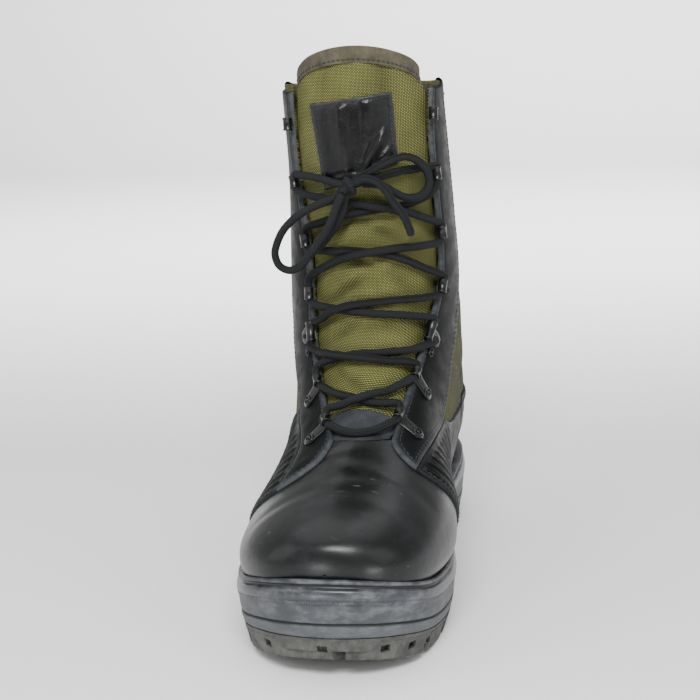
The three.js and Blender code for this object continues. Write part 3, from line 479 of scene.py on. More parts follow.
def tube(points, radius, sides, closed=False, tip=True):
    # A round tube along points, with rounded tips: its points, faces and surface coordinates in metres
    p = np.asarray(points, float)
    tangent = np.gradient(p, axis=0) if not closed else np.roll(p, -1, 0) - np.roll(p, 1, 0)
    tangent = unit(tangent)
    normal = np.cross(tangent[0], (0.3, 0.2, 1.0))
    normals = []
    for t in tangent:
        normal = normal - t * np.dot(normal, t)
        normal = normal / np.linalg.norm(normal)
        normals.append(normal)
    normals = np.array(normals)
    run = runOf(p)
    radii = np.full(len(p), radius, float) if np.isscalar(radius) else np.asarray(radius, float)
    if not closed and tip:
        first, last = p[0], p[-1]
        caps = np.sqrt(np.linspace(0, 1, 5)[:-1])
        reach = np.sqrt(np.clip(1 - caps**2, 0, 1)) * 0.8
        p = np.vstack([first - tangent[0] * radii[0] * reach[:, None], p,
                       (last + tangent[-1] * radii[-1] * reach[:, None])[::-1]])
        normals = np.vstack([np.repeat(normals[:1], 4, 0), normals, np.repeat(normals[-1:], 4, 0)])
        tangent = np.vstack([np.repeat(tangent[:1], 4, 0), tangent, np.repeat(tangent[-1:], 4, 0)])
        radii = np.concatenate([radii[0] * np.maximum(caps, 0.02), radii,
                                (radii[-1] * np.maximum(caps, 0.02))[::-1]])
        run = runOf(p)
    angles = np.linspace(0, 2 * np.pi, sides, endpoint=False)
    side = np.cross(tangent, normals)
    ring = (np.cos(angles)[None, :, None] * normals[:, None] + np.sin(angles)[None, :, None] * side[:, None])
    points = p[:, None] + ring * radii[:, None, None]
    uv = np.stack(np.broadcast_arrays(run[:, None], angles[None] * radii.max()), -1) * mm
    faces = gridFaces(len(p), sides, True)
    if closed:
        top = (len(p) - 1) * sides
        faces += [(top + c, top + (c + 1) % sides, (c + 1) % sides, c) for c in range(sides)]
    return points.reshape(-1, 3), faces, uv.reshape(-1, 2)


class Batch:
    # Many small closed shapes gathered into one mesh
    def __init__(self):
        self.points, self.faces, self.uv, self.count = [], [], [], 0

    def add(self, points, faces, uv=None):
        points = np.asarray(points, float).reshape(-1, 3)
        self.faces += [tuple(i + self.count for i in face) for face in faces]
        self.points.append(points)
        self.uv.append(np.zeros((len(points), 2)) if uv is None else np.asarray(uv).reshape(-1, 2))
        self.count += len(points)

    def make(self, name, material, slotName):
        return makePiece(name, np.vstack(self.points), self.faces, material, slotName, np.vstack(self.uv))


def stitches(batch, line, outward, length, pause, radius, sink=0.6):
    # Thread laid in short runs along a line of points, dipping into the leather at both ends
    run = runOf(line)
    at = np.arange(pause, run[-1] - length, length + pause)
    shares = np.linspace(0, 1, 6)
    for start in at:
        t = start + shares * length
        middle = np.stack([np.interp(t, run, line[:, k]) for k in range(3)], -1)
        up = unit(np.stack([np.interp(t, run, outward[:, k]) for k in range(3)], -1))
        middle = middle + up * (radius * (1 - sink) - (2 * shares[:, None] - 1)**4 * radius * 1.3)
        batch.add(*tube(middle, radius, 5, tip=False))


def seamLine(edge, height, step=0.8):
    # Points and outward directions along (section, angle) pairs
    points = skinAt(edge, height)
    count = max(3, int(runOf(points)[-1] / step))
    edge = resample(edge, np.linspace(0, 1, count))
    return skinAt(edge, height), formNormal(edge[:, 0], edge[:, 1])


def boolean(piece, cutter, operation='DIFFERENCE'):
    step = piece.modifiers.new('cut', 'BOOLEAN')
    step.object, step.operation, step.solver = cutter, operation, 'MANIFOLD'
    bpy.context.view_layer.update()
    made = bpy.data.meshes.new_from_object(piece.evaluated_get(bpy.context.evaluated_depsgraph_get()))
    piece.modifiers.remove(step)
    old = piece.data
    piece.data = made
    bpy.data.meshes.remove(old)
    bpy.data.objects.remove(cutter)
    return piece


def linear(hexColour):
    # sRGB hex to the linear colour that shaders take
    parts = [int(hexColour[i:i + 2], 16) / 255 for i in (1, 3, 5)]
    return [p / 12.92 if p <= 0.04045 else ((p + 0.055) / 1.055)**2.4 for p in parts] + [1.0]


def setNode(node, values):
    # A key is a property of the node, or the name or number of an input. Into an input goes a number, a
    # colour as hex, a node (its first output in use) or an output. 'stops' are a ramp's places and colours.
    tree = node.id_data
    for key, value in values.items():
        if key == 'stops':
            elements = node.color_ramp.elements
            while len(elements) < len(value):
                elements.new(0.5)
            for element, (place, colour) in zip(elements, value):
                element.position = place
                element.color = linear(colour) if isinstance(colour, str) else (colour, colour, colour, 1)
        elif isinstance(value, bpy.types.Node):
            tree.links.new(next(s for s in value.outputs if s.enabled), node.inputs[key])
        elif isinstance(value, bpy.types.NodeSocket):
            tree.links.new(value, node.inputs[key])
        elif isinstance(key, str) and hasattr(node, key):
            setattr(node, key, value)
        else:
            node.inputs[key].default_value = linear(value) if isinstance(value, str) else value


def addNode(tree, kind, values=None):
    node = tree.nodes.new('ShaderNode' + kind)
    setNode(node, values or {})
    return node


def newMaterial(name, settings):
    material = bpy.data.materials.new(name)
    material.use_nodes = True
    tree = material.node_tree
    shader = tree.nodes['Principled BSDF']
    setNode(shader, settings)
    return material, functools.partial(addNode, tree), shader


def perMetre(sizeMm):
    # Scale of a pattern whose blobs or cells are about sizeMm across
    return 1 / (sizeMm * mm)


# Full-grain leather, smooth and waxed by polishing: deep black, broad soft highlights, fine scratches
vampLook = {'grainMm': 0.9, 'low': '#050606', 'high': '#0d0e10', 'haze': '#2a2d32'}


def polishedLeather():
    material, add, shader = newMaterial('polishedFullGrainLeather', {'IOR': 1.5, 'Specular IOR Level': 0.3,
            'Coat Weight': 0.13, 'Coat Roughness': 0.18, 'Coat IOR': 1.4})
    place = add('TexCoord').outputs['Object']
    clouds = add('TexNoise', {'Scale': perMetre(38), 'Detail': 5, 'Roughness': 0.6, 'Vector': place})
    fine = add('TexNoise', {'Scale': perMetre(3.5), 'Detail': 6, 'Roughness': 0.7, 'Vector': place})
    colour = add('ValToRGB', {'Fac': clouds, 'stops': [(0.3, vampLook['low']), (0.62, vampLook['high']),
            (0.85, '#131518')]})
    haze = add('ValToRGB',
               {'Fac': add('TexNoise', {'Scale': perMetre(17), 'Detail': 6, 'Roughness': 0.7,
                                        'Vector': place}), 'stops': [(0.5, 0), (0.74, 0.4)]})
    colour = add('Mix', {'data_type': 'RGBA', 0: haze, 6: colour, 7: vampLook['haze']})
    scratches = add('ValToRGB', {'Fac': add('TexNoise', {'Scale': perMetre(5), 'Detail': 3, 'Roughness': 0.5,
            'Vector': add('Mapping', {'Scale': (0.35, 2.4, 2.6), 'Vector': place})}), 'stops': [(0.66, 0),
            (0.72, 0.8), (0.75, 0)]})
    patchy = add('ValToRGB', {'Fac': add('TexNoise', {'Scale': perMetre(26), 'Detail': 3, 'Roughness': 0.5,
            'Vector': place}), 'stops': [(0.54, 0), (0.68, 1)]})
    scuff = add('Math', {'operation': 'MULTIPLY', 0: scratches, 1: patchy})
    colour = add('Mix', {'data_type': 'RGBA', 0: scuff, 6: colour, 7: '#5b6066'})
    setNode(shader, {'Base Color': colour})
    rough = add('ValToRGB', {'Fac': add('Math', {'operation': 'ADD', 0: add('Math', {'operation': 'MULTIPLY',
            0: clouds, 1: 0.6}), 1: add('Math', {'operation': 'MULTIPLY', 0: fine, 1: 0.4})}),
                             'stops': [(0.3, 0.27), (0.75, 0.43)]})
    rough = add('Math', {'operation': 'ADD', 0: rough, 1: add('Math', {'operation': 'MULTIPLY', 0: scuff,
            1: 0.3})})
    setNode(shader, {'Roughness': rough})
    normal = add('Bump', {'Distance': 0.03 * mm, 'Strength': 0.35, 'Height': add('TexVoronoi',
            {'feature': 'SMOOTH_F1', 'Smoothness': 0.35, 'Scale': perMetre(vampLook['grainMm']),
             'Vector': place})})
    normal = add('Bump', {'Distance': 0.5 * mm, 'Strength': 0.5, 'Height': add('TexNoise',
            {'Scale': perMetre(16), 'Detail': 3, 'Roughness': 0.55, 'Vector': place}), 'Normal': normal})
    setNode(shader, {'Normal': normal})
    return material


# Grained leather dyed black and left mat, its cut and rolled edges rubbed down to grey
def wornLeather(name, dark, light, edge, rough, grainMm, edgeShare=0.85, spec=0.14, crumple=0.35):
    material, add, shader = newMaterial(name, {'IOR': 1.5, 'Specular IOR Level': spec})
    place = add('TexCoord').outputs['Object']
    colour = add('ValToRGB', {'Fac': add('TexNoise', {'Scale': perMetre(22), 'Detail': 6, 'Roughness': 0.65,
            'Vector': place}), 'stops': [(0.32, dark), (0.7, light)]})
    worn = add('Attribute', {'attribute_name': 'wear'}).outputs['Fac']
    ragged = add('Math', {'operation': 'MULTIPLY', 0: worn, 1: add('ValToRGB',
            {'Fac': add('TexNoise', {'Scale': perMetre(4), 'Detail': 5, 'Roughness': 0.7, 'Vector': place}),
             'stops': [(0.3, 0.45), (0.6, 1)]})})
    ragged = add('Math', {'operation': 'MULTIPLY', 'use_clamp': True, 0: ragged, 1: edgeShare})
    colour = add('Mix', {'data_type': 'RGBA', 0: ragged, 6: colour, 7: edge})
    setNode(shader, {'Base Color': colour})
    roughness = add('ValToRGB', {'Fac': add('TexNoise', {'Scale': perMetre(9), 'Detail': 5, 'Roughness': 0.6,
            'Vector': place}), 'stops': [(0.3, rough - 0.08), (0.7, rough + 0.1)]})
    setNode(shader, {'Roughness': roughness})
    normal = add('Bump', {'Distance': 0.08 * mm, 'Strength': 0.35 + 0.45 * crumple,
                          'Height': add('TexVoronoi', {'feature': 'SMOOTH_F1', 'Smoothness': 0.35,
            'Scale': perMetre(grainMm), 'Vector': place})})
    normal = add('Bump', {'Distance': (0.25 + 0.5 * crumple**2) * mm, 'Strength': crumple,
                          'Height': add('TexNoise', {'Scale': perMetre(6), 'Detail': 4, 'Roughness': 0.6,
            'Vector': place}), 'Normal': normal})
    setNode(shader, {'Normal': normal})
    return material


# Ballistic nylon, a plain weave of thick round yarns: matt, with painted light on the yarn crowns and painted
# shade on their sides and in the gaps between them.
# The yarns lie about 0.5 mm apart in the real cloth and are drawn a little coarser so that they show.
nylonLook = {'yarnMm': 0.78, 'top': '#c8ca80', 'side': '#4b4b24', 'gap': '#080803'}


def wovenNylon(name, top, side, gap, yarnMm, shade=0.5):
    material, add, shader = newMaterial(name, {'IOR': 1.53, 'Roughness': 0.7, 'Specular IOR Level': 0.15})
    place = add('UVMap', {'uv_map': 'lay'})
    wobble = add('TexNoise', {'Scale': 1 / (6 * mm), 'Detail': 2, 'Vector': place}).outputs['Color']
    wobble = add('VectorMath', {'operation': 'SCALE', 'Scale': 0.0006, 0: wobble}).outputs[0]
    place = add('VectorMath', {'operation': 'ADD', 0: place, 1: wobble}).outputs[0]
    parts = add('SeparateXYZ', {0: place})
    turn = math.pi / (yarnMm * mm)
    u = add('Math', {'operation': 'MULTIPLY', 0: parts.outputs['X'], 1: turn})
    v = add('Math', {'operation': 'MULTIPLY', 0: parts.outputs['Y'], 1: turn})
    sinU, sinV = add('Math', {'operation': 'SINE', 0: u}), add('Math', {'operation': 'SINE', 0: v})
    height = add('Math', {'operation': 'MULTIPLY', 0: add('Math', {'operation': 'ABSOLUTE', 0: sinU}),
                          1: add('Math', {'operation': 'ABSOLUTE', 0: sinV})})
    weftOver = add('Math', {'operation': 'GREATER_THAN', 0: add('Math', {'operation': 'MULTIPLY', 0: sinU,
            1: sinV}), 1: 0})
    # Painted light and shade of the weave: yarn crowns in the light top colour, yarn sides in the darker side
    # colour, the gaps near black
    colour = add('ValToRGB', {'Fac': height, 'stops': [(0.05, gap), (0.4, side), (0.95, top)]})
    colour = add('Mix', {'data_type': 'RGBA', 0: add('Math', {'operation': 'MULTIPLY', 0: weftOver, 1: 0.7}),
                         6: colour, 7: side})
    slow = add('TexNoise', {'Scale': perMetre(30), 'Detail': 4, 'Roughness': 0.6,
                            'Vector': add('TexCoord').outputs['Object']})
    colour = add('Mix', {'data_type': 'RGBA', 0: add('ValToRGB', {'Fac': slow, 'stops': [(0.35, 0.0),
            (0.75, shade)]}), 6: colour, 7: gap})
    # The point attribute read here holds how deep the cloth lies in its folds; mixing the colour towards the
    # gap colour by it is painted shade in the fold troughs.
    paintedFoldShade = add('Attribute', {'attribute_name': 'wear'}).outputs['Fac']
    colour = add('Mix', {'data_type': 'RGBA', 0: add('Math', {'operation': 'MULTIPLY', 0: paintedFoldShade, 1: 0.55}),
                         6: colour, 7: gap})
    setNode(shader, {'Base Color': colour})
    normal = add('Bump', {'Distance': 0.3 * mm, 'Strength': 0.9, 'Height': height})
    normal = add('Bump', {'Distance': 0.9 * mm, 'Strength': 0.45, 'Height': add('TexNoise',
            {'Scale': perMetre(9), 'Detail': 3, 'Roughness': 0.55,
             'Vector': add('TexCoord').outputs['Object']}), 'Normal': normal})
    setNode(shader, {'Normal': normal})
    return material


# Grosgrain binding tape: fine ribs across it, khaki grey, faded, with painted shade in the troughs between
# the ribs
def ribbedTape():
    material, add, shader = newMaterial('wovenBindingTape', {'IOR': 1.53, 'Roughness': 0.85,
            'Specular IOR Level': 0.3})
    place = add('UVMap', {'uv_map': 'lay'})
    parts = add('SeparateXYZ', {0: place})
    ribs = add('Math', {'operation': 'ABSOLUTE', 0: add('Math', {'operation': 'SINE',
            0: add('Math', {'operation': 'MULTIPLY', 0: parts.outputs['X'], 1: math.pi / (0.8 * mm)})})})
    clouds = add('TexNoise', {'Scale': perMetre(8), 'Detail': 5, 'Roughness': 0.65,
                              'Vector': add('TexCoord').outputs['Object']})
    colour = add('ValToRGB', {'Fac': clouds, 'stops': [(0.3, '#3a372c'), (0.7, '#605b49')]})
    # Painted shade: the troughs between the ribs are mixed towards dark brown
    colour = add('Mix', {'data_type': 'RGBA', 0: add('Math', {'operation': 'MULTIPLY',
            0: add('Math', {'operation': 'SUBTRACT', 0: 1, 1: ribs}), 1: 0.4}), 6: colour, 7: '#2b271f'})
    setNode(shader, {'Base Color': colour})
    setNode(shader, {'Normal': add('Bump', {'Distance': 0.12 * mm, 'Strength': 0.6, 'Height': ribs})})
    return material


# Moulded nitrile rubber, satin where handled, with pale dust in its low places and painted shade in its
# grooves
rubberLook = {'dark': '#17191c', 'mid': '#34383d', 'dust': '#74757a'}


def mouldedRubber():
    material, add, shader = newMaterial('mouldedBlackRubber', {'IOR': 1.52})
    place = add('TexCoord').outputs['Object']
    parts = add('SeparateXYZ', {0: add('UVMap', {'uv_map': 'lay'})})
    share = add('Math', {'operation': 'DIVIDE', 0: parts.outputs['Y'], 1: 0.1})
    clouds = add('TexNoise', {'Scale': perMetre(24), 'Detail': 6, 'Roughness': 0.65, 'Vector': place})
    colour = add('ValToRGB', {'Fac': clouds, 'stops': [(0.3, rubberLook['dark']), (0.68, rubberLook['mid'])]})
    smears = add('ValToRGB', {'Fac': add('TexNoise', {'Scale': perMetre(15), 'Detail': 6, 'Roughness': 0.7,
            'Vector': add('Mapping', {'Scale': (1, 1, 2.2), 'Vector': place})}), 'stops': [(0.46, 0),
            (0.72, 0.75)]})
    colour = add('Mix', {'data_type': 'RGBA', 0: smears, 6: colour, 7: rubberLook['dust']})
    low = add('ValToRGB', {'Fac': share, 'stops': [(0.0, 0.65), (0.2, 0.5), (0.3, 0.25), (0.9, 0.0)]})
    colour = add('Mix', {'data_type': 'RGBA', 0: low, 6: colour, 7: '#54575a'})
    # Painted shade: the two recessed grooves of the side, and the small step at half strength, are darkened
    # towards near black
    paintedGrooveShade = add('ValToRGB', {'Fac': share, 'stops': [(0.205, 0), (0.225, 0.95), (0.25, 0.95), (0.275, 0),
            (0.66, 0), (0.675, 0.5), (0.7, 0), (0.85, 0), (0.875, 0.95), (0.9, 0.95), (0.925, 0)]})
    colour = add('Mix', {'data_type': 'RGBA', 0: paintedGrooveShade, 6: colour, 7: '#060708'})
    setNode(shader, {'Base Color': colour})
    rough = add('ValToRGB', {'Fac': share, 'stops': [(0.0, 0.7), (0.28, 0.6), (0.6, 0.5), (0.68, 0.3),
            (0.84, 0.28), (0.9, 0.5), (1, 0.4)]})
    rough = add('Math', {'operation': 'ADD', 0: rough, 1: add('Math', {'operation': 'MULTIPLY', 0: smears,
            1: 0.2})})
    setNode(shader, {'Roughness': rough})
    # knurled step and the textured band near the joint, ribs 1.3 mm apart
    ribs = add('Math', {'operation': 'SINE', 0: add('Math', {'operation': 'MULTIPLY', 0: parts.outputs['X'],
            1: 2 * math.pi / (1.3 * mm)})})
    knurl = add('ValToRGB', {'Fac': share, 'stops': [(0.585, 0), (0.6, 1), (0.655, 1), (0.67, 0)]})
    pebbles = add('TexVoronoi', {'feature': 'SMOOTH_F1', 'Smoothness': 0.35, 'Scale': perMetre(1.1),
                                 'Vector': place})
    texture = add('ValToRGB', {'Fac': share, 'stops': [(0.02, 1), (0.2, 1), (0.23, 0.0), (1, 0.0)]})
    normal = add('Bump', {'Distance': 0.22 * mm, 'Strength': 0.8, 'Height': add('Math',
            {'operation': 'MULTIPLY', 0: ribs, 1: knurl})})
    normal = add('Bump', {'Distance': 0.5 * mm, 'Strength': 0.6, 'Height': add('Math',
            {'operation': 'MULTIPLY', 0: pebbles, 1: texture}), 'Normal': normal})
    normal = add('Bump', {'Distance': 0.12 * mm, 'Strength': 0.35, 'Height': add('TexNoise',
            {'Scale': perMetre(2.2), 'Detail': 5, 'Roughness': 0.7, 'Vector': place}), 'Normal': normal})
    setNode(shader, {'Normal': normal})
    return material


# Tread rubber, worn mat and grey by dust; fine upright ribs on the lugs' sides
def dustyTread():
    material, add, shader = newMaterial('dustyTreadRubber', {'IOR': 1.52, 'Roughness': 0.85})
    place = add('TexCoord').outputs['Object']
    colour = add('ValToRGB', {'Fac': add('TexNoise', {'Scale': perMetre(12), 'Detail': 6, 'Roughness': 0.7,
            'Vector': place}), 'stops': [(0.3, '#2a2c2c'), (0.7, '#4a4b49')]})
    dust = add('ValToRGB',
               {'Fac': add('TexNoise', {'Scale': perMetre(9), 'Detail': 6, 'Roughness': 0.7,
                                        'Vector': place}), 'stops': [(0.45, 0), (0.7, 0.5)]})
    colour = add('Mix', {'data_type': 'RGBA', 0: dust, 6: colour, 7: '#6d6c65'})
    setNode(shader, {'Base Color': colour})
    parts = add('SeparateXYZ', {0: place})
    diagonal = add('Math', {'operation': 'ADD', 0: parts.outputs['X'],
                            1: add('Math', {'operation': 'MULTIPLY', 0: parts.outputs['Y'], 1: 0.8})})
    ribs = add('Math', {'operation': 'SINE', 0: add('Math', {'operation': 'MULTIPLY', 0: diagonal,
            1: 2 * math.pi / (1.5 * mm)})})
    normal = add('Bump', {'Distance': 0.16 * mm, 'Strength': 0.5, 'Height': ribs})
    normal = add('Bump', {'Distance': 0.2 * mm, 'Strength': 0.5, 'Height': add('TexNoise',
            {'Scale': perMetre(2), 'Detail': 5, 'Roughness': 0.7, 'Vector': place}), 'Normal': normal})
    setNode(shader, {'Normal': normal})
    return material


# Steel pressed and enamelled black, rubbed bright on its proud edges
def enamelledSteel():
    material, add, shader = newMaterial('enamelledSteel', {'IOR': 1.5, 'Specular IOR Level': 0.4,
            'Coat Weight': 0.1, 'Coat Roughness': 0.2})
    place = add('TexCoord').outputs['Object']
    worn = add('ValToRGB',
               {'Fac': add('TexNoise', {'Scale': perMetre(6), 'Detail': 5, 'Roughness': 0.7,
                                        'Vector': place}), 'stops': [(0.58, 0), (0.76, 0.45)]})
    colour = add('Mix', {'data_type': 'RGBA', 0: worn, 6: '#050506', 7: '#3a3c40'})
    setNode(shader, {'Base Color': colour})
    setNode(shader, {'Roughness': add('ValToRGB', {'Fac': worn, 'stops': [(0, 0.3), (1, 0.42)]})})
    setNode(shader, {'Normal': add('Bump', {'Distance': 0.03 * mm, 'Strength': 0.4, 'Height': add('TexNoise',
            {'Scale': perMetre(1.5), 'Detail': 3, 'Roughness': 0.55, 'Vector': place})})})
    return material


# Braided polyester lace over a core: two sets of strands crossing at a slant, the strands' crowns painted
# lighter and the grooves between them darker as painted light and shade
braidLook = {'strandMm': 1.3, 'dark': '#030303', 'light': '#2e3032'}


def braidedPolyester():
    material, add, shader = newMaterial('braidedPolyester', {'IOR': 1.55, 'Roughness': 0.75,
            'Specular IOR Level': 0.15})
    parts = add('SeparateXYZ', {0: add('UVMap', {'uv_map': 'lay'})})
    turn = math.pi / (braidLook['strandMm'] * mm)
    u = add('Math', {'operation': 'MULTIPLY', 0: parts.outputs['X'], 1: turn})
    v = add('Math', {'operation': 'MULTIPLY', 0: parts.outputs['Y'], 1: turn})
    one = add('Math', {'operation': 'ABSOLUTE', 0: add('Math', {'operation': 'SINE',
            0: add('Math', {'operation': 'ADD', 0: u, 1: v})})})
    other = add('Math', {'operation': 'ABSOLUTE', 0: add('Math', {'operation': 'SINE',
            0: add('Math', {'operation': 'SUBTRACT', 0: u, 1: v})})})
    height = add('Math', {'operation': 'MULTIPLY', 0: one, 1: other})
    fuzz = add('TexNoise', {'Scale': perMetre(1.2), 'Detail': 5, 'Roughness': 0.7,
                            'Vector': add('TexCoord').outputs['Object']})
    # Painted light and shade of the braid: the colour follows the strands' height, dark in the grooves and
    # light on the crowns
    colour = add('ValToRGB',
                 {'Fac': add('Math', {'operation': 'ADD', 0: height,
                                      1: add('Math', {'operation': 'MULTIPLY', 0: fuzz, 1: 0.35})}),
                  'stops': [(0.15, braidLook['dark']), (1.0, braidLook['light'])]})
    setNode(shader, {'Base Color': colour})
    normal = add('Bump', {'Distance': 0.35 * mm, 'Strength': 0.9, 'Height': height})
    normal = add('Bump', {'Distance': 0.15 * mm, 'Strength': 0.4, 'Height': fuzz, 'Normal': normal})
    setNode(shader, {'Normal': normal})
    return material


# Bonded polyester thread, waxed
def sewingThread():
    material, add, shader = newMaterial('blackThread', {'IOR': 1.55, 'Roughness': 0.6})
    colour = add('ValToRGB', {'Fac': add('TexNoise', {'Scale': perMetre(3), 'Detail': 3, 'Roughness': 0.55,
            'Vector': add('TexCoord').outputs['Object']}), 'stops': [(0.35, '#0c0c0d'), (0.7, '#26272a')]})
    setNode(shader, {'Base Color': colour})
    return material


# Pressed felt footbed
def pressedFelt():
    material, add, shader = newMaterial('pressedFelt', {'Roughness': 0.95, 'Sheen Weight': 0.3})
    place = add('TexCoord').outputs['Object']
    fibres = add('TexNoise', {'Scale': perMetre(0.8), 'Detail': 6, 'Roughness': 0.8, 'Vector': place})
    setNode(shader, {'Base Color': add('ValToRGB', {'Fac': fibres, 'stops': [(0.3, '#1d1d1c'),
            (0.7, '#3a3a37')]})})
    setNode(shader, {'Normal': add('Bump', {'Distance': 0.3 * mm, 'Strength': 0.6, 'Height': fibres})})
    return material


vampLeather = polishedLeather()
facingLeather = wornLeather('mattGrainedLeather', '#040505', '#0c0e0f', '#5a5e62', 0.46, 0.8, 0.75, spec=0.07)
panelLeather = wornLeather('embossedPanelLeather', '#040505', '#0c0e0f', '#3c3f42', 0.46, 0.8, 0.5, spec=0.09)
patchLeather = wornLeather('blankPatchLeather', '#020203', '#08090b', '#484b50', 0.3, 1.4, 0.8, 0.34, 0.9)
rootLeather = wornLeather('greyTongueLeather', '#25272a', '#43464a', '#55585b', 0.6, 0.9)
shaftNylonCloth = wovenNylon('oliveShaftNylon', '#8a8850', '#38391b', '#0a0b04', nylonLook['yarnMm'])
tongueNylonCloth = wovenNylon('oliveTongueNylon', nylonLook['top'], nylonLook['side'], nylonLook['gap'],
                              nylonLook['yarnMm'], 0.35)
bindingTape = ribbedTape()
soleRubber = mouldedRubber()
treadRubber = dustyTread()
steel = enamelledSteel()
lacePolyester = braidedPolyester()
blackThread = sewingThread()
felt = pressedFelt()
print('materials made')


# Camera where the photograph was taken from, turned left about its own up axis to hold the one boot
cameraSet = {'place': (143.7, -838, 334), 'yaw': -5.63, 'pitch': 13.13, 'roll': -1.14, 'turn': 4.46,
             'lens': 77.8}


def makeCamera():
    yaw, pitch, roll, turn = (math.radians(cameraSet[k]) for k in ('yaw', 'pitch', 'roll', 'turn'))
    ahead = np.array([math.sin(yaw) * math.cos(pitch), math.cos(yaw) * math.cos(pitch), -math.sin(pitch)])
    right = np.array([math.cos(yaw), -math.sin(yaw), 0])
    up = np.cross(right, ahead)
    right, up = (right * math.cos(roll) + up * math.sin(roll), up * math.cos(roll) - right * math.sin(roll))
    ahead, right = (ahead * math.cos(turn) - right * math.sin(turn),
                    right * math.cos(turn) + ahead * math.sin(turn))
    data = bpy.data.cameras.new('bootCamera')
    data.lens = cameraSet['lens']
    camera = bpy.data.objects.new('bootCamera', data)
    matrix = np.eye(4)
    matrix[:3, 0], matrix[:3, 1], matrix[:3, 2] = right, up, -ahead
    matrix[:3, 3] = np.array(cameraSet['place']) * mm
    camera.matrix_world = Matrix(matrix.tolist())
    bpy.context.scene.collection.objects.link(camera)
    bpy.context.scene.camera = camera


# Soft boxes ahead and above, as in a product photograph on white
lightSet = {
    'keySoftBox': {'place': (0.15, -1.05, 1.15), 'aim': (0, -0.05, 0.12), 'size': (0.7, 0.42), 'watts': 23},
    'topSoftBox': {'place': (-0.1, 0.35, 1.5), 'aim': (0, 0, 0.1), 'size': (1.8, 1.4), 'watts': 10},
    'leftSoftBox': {'place': (-1.3, -0.5, 0.7), 'aim': (0, 0, 0.15), 'size': (0.9, 1.1), 'watts': 4.5},
    'rightSoftBox': {'place': (1.3, -0.8, 0.8), 'aim': (0, 0, 0.18), 'size': (0.8, 1.0), 'watts': 4},
    'lowCardLeft': {'place': (-0.07, -0.42, 0.012), 'aim': (-0.02, -0.15, 0.06), 'size': (0.07, 0.05),
                    'watts': 0.16},
    'lowCardRight': {'place': (0.2, -0.34, 0.012), 'aim': (0.02, -0.14, 0.06), 'size': (0.07, 0.05),
                     'watts': 0.16},
    'sweepLight': {'place': (0.2, 0.9, 1.3), 'aim': (0, 3.0, 0.3), 'size': (2.4, 0.6), 'watts': 110},
}
worldLight = {'colour': '#ffffff', 'strength': 0.6}


def makeLights():
    for name, look in lightSet.items():
        data = bpy.data.lights.new(name, 'AREA')
        data.shape = 'RECTANGLE'
        data.size, data.size_y = look['size']
        data.energy = look['watts']
        light = bpy.data.objects.new(name, data)
        place = Vector(look['place'])
        light.location = place
        light.rotation_euler = (Vector(look['aim']) - place).to_track_quat('-Z', 'Y').to_euler()
        bpy.context.scene.collection.objects.link(light)
    world = bpy.data.worlds.new('studio')
    world.use_nodes = True
    background = world.node_tree.nodes['Background']
    background.inputs['Color'].default_value = linear(worldLight['colour'])
    background.inputs['Strength'].default_value = worldLight['strength']
    bpy.context.scene.world = world


def makeFloor():
    # Paper hung behind and drawn forward under the boot in one sweep
    mesh = bpy.data.meshes.new('floor')
    reach, bend, radius = 4.0, 2.2, 0.7
    line = [(-3.0, 0.0), (-0.5, 0.0), (bend, 0.0)]
    line += [(bend + radius * math.sin(t), radius - radius * math.cos(t)) for t in np.linspace(0.1, 1.1, 10)]
    points = [(side * reach, y, z) for y, z in line for side in (-1, 1)]
    mesh.from_pydata(points, [], [(2 * i, 2 * i + 1, 2 * i + 3, 2 * i + 2) for i in range(len(line) - 1)])
    mesh.polygons.foreach_set('use_smooth', [True] * len(mesh.polygons))
    paper, _, _ = newMaterial('palePaper', {'Base Color': linear('#f8f8f7'), 'Roughness': 0.95,
                                            'Specular IOR Level': 0.2})
    mesh.materials.append(paper)
    floor = bpy.data.objects.new('floor', mesh)
    floor.location.z = -0.0002
    bpy.context.scene.collection.objects.link(floor)


wall, overlay, gap = bootSize['wall'], bootSize['overlay'], bootSize['gap']


def lineOnForm(name, seenFrom, pieces=10):
    return onForm(smoothFlat(patternLine[name], pieces), seenFrom)


def throatEdge(side, back=0.0, low=101.0, high=292.0, count=160):
    # The lacing's opening, from its foot up, as (section, angle)
    ups = np.linspace(low, high, count)
    middle, half = throatAt(ups)
    return onForm(np.stack([middle + side * (half + back), ups], -1), 'front')


def collarSection(angles, drop):
    # The section where the form meets the collar's line, lowered by drop, at each angle
    collar = smoothFlat(patternLine['collar'], 12)
    low, high = np.full(len(angles), 15.0), np.full(len(angles), float(lastSection))
    for _ in range(40):
        middle = (low + high) / 2
        p = formPoint(middle, angles)
        above = p[:, 2] > np.interp(yOf(p[:, 1]), collar[:, 0], collar[:, 1]) - drop
        high, low = np.where(above, middle, high), np.where(above, low, middle)
    return (low + high) / 2


# The base of the upper: one lasted shell, open at the throat and the collar
shellLook = {'columns': 76, 'stepMm': 1.7, 'vampEnd': 172, 'openFrom': 6.42, 'backFrom': 91, 'backRadius': 56}


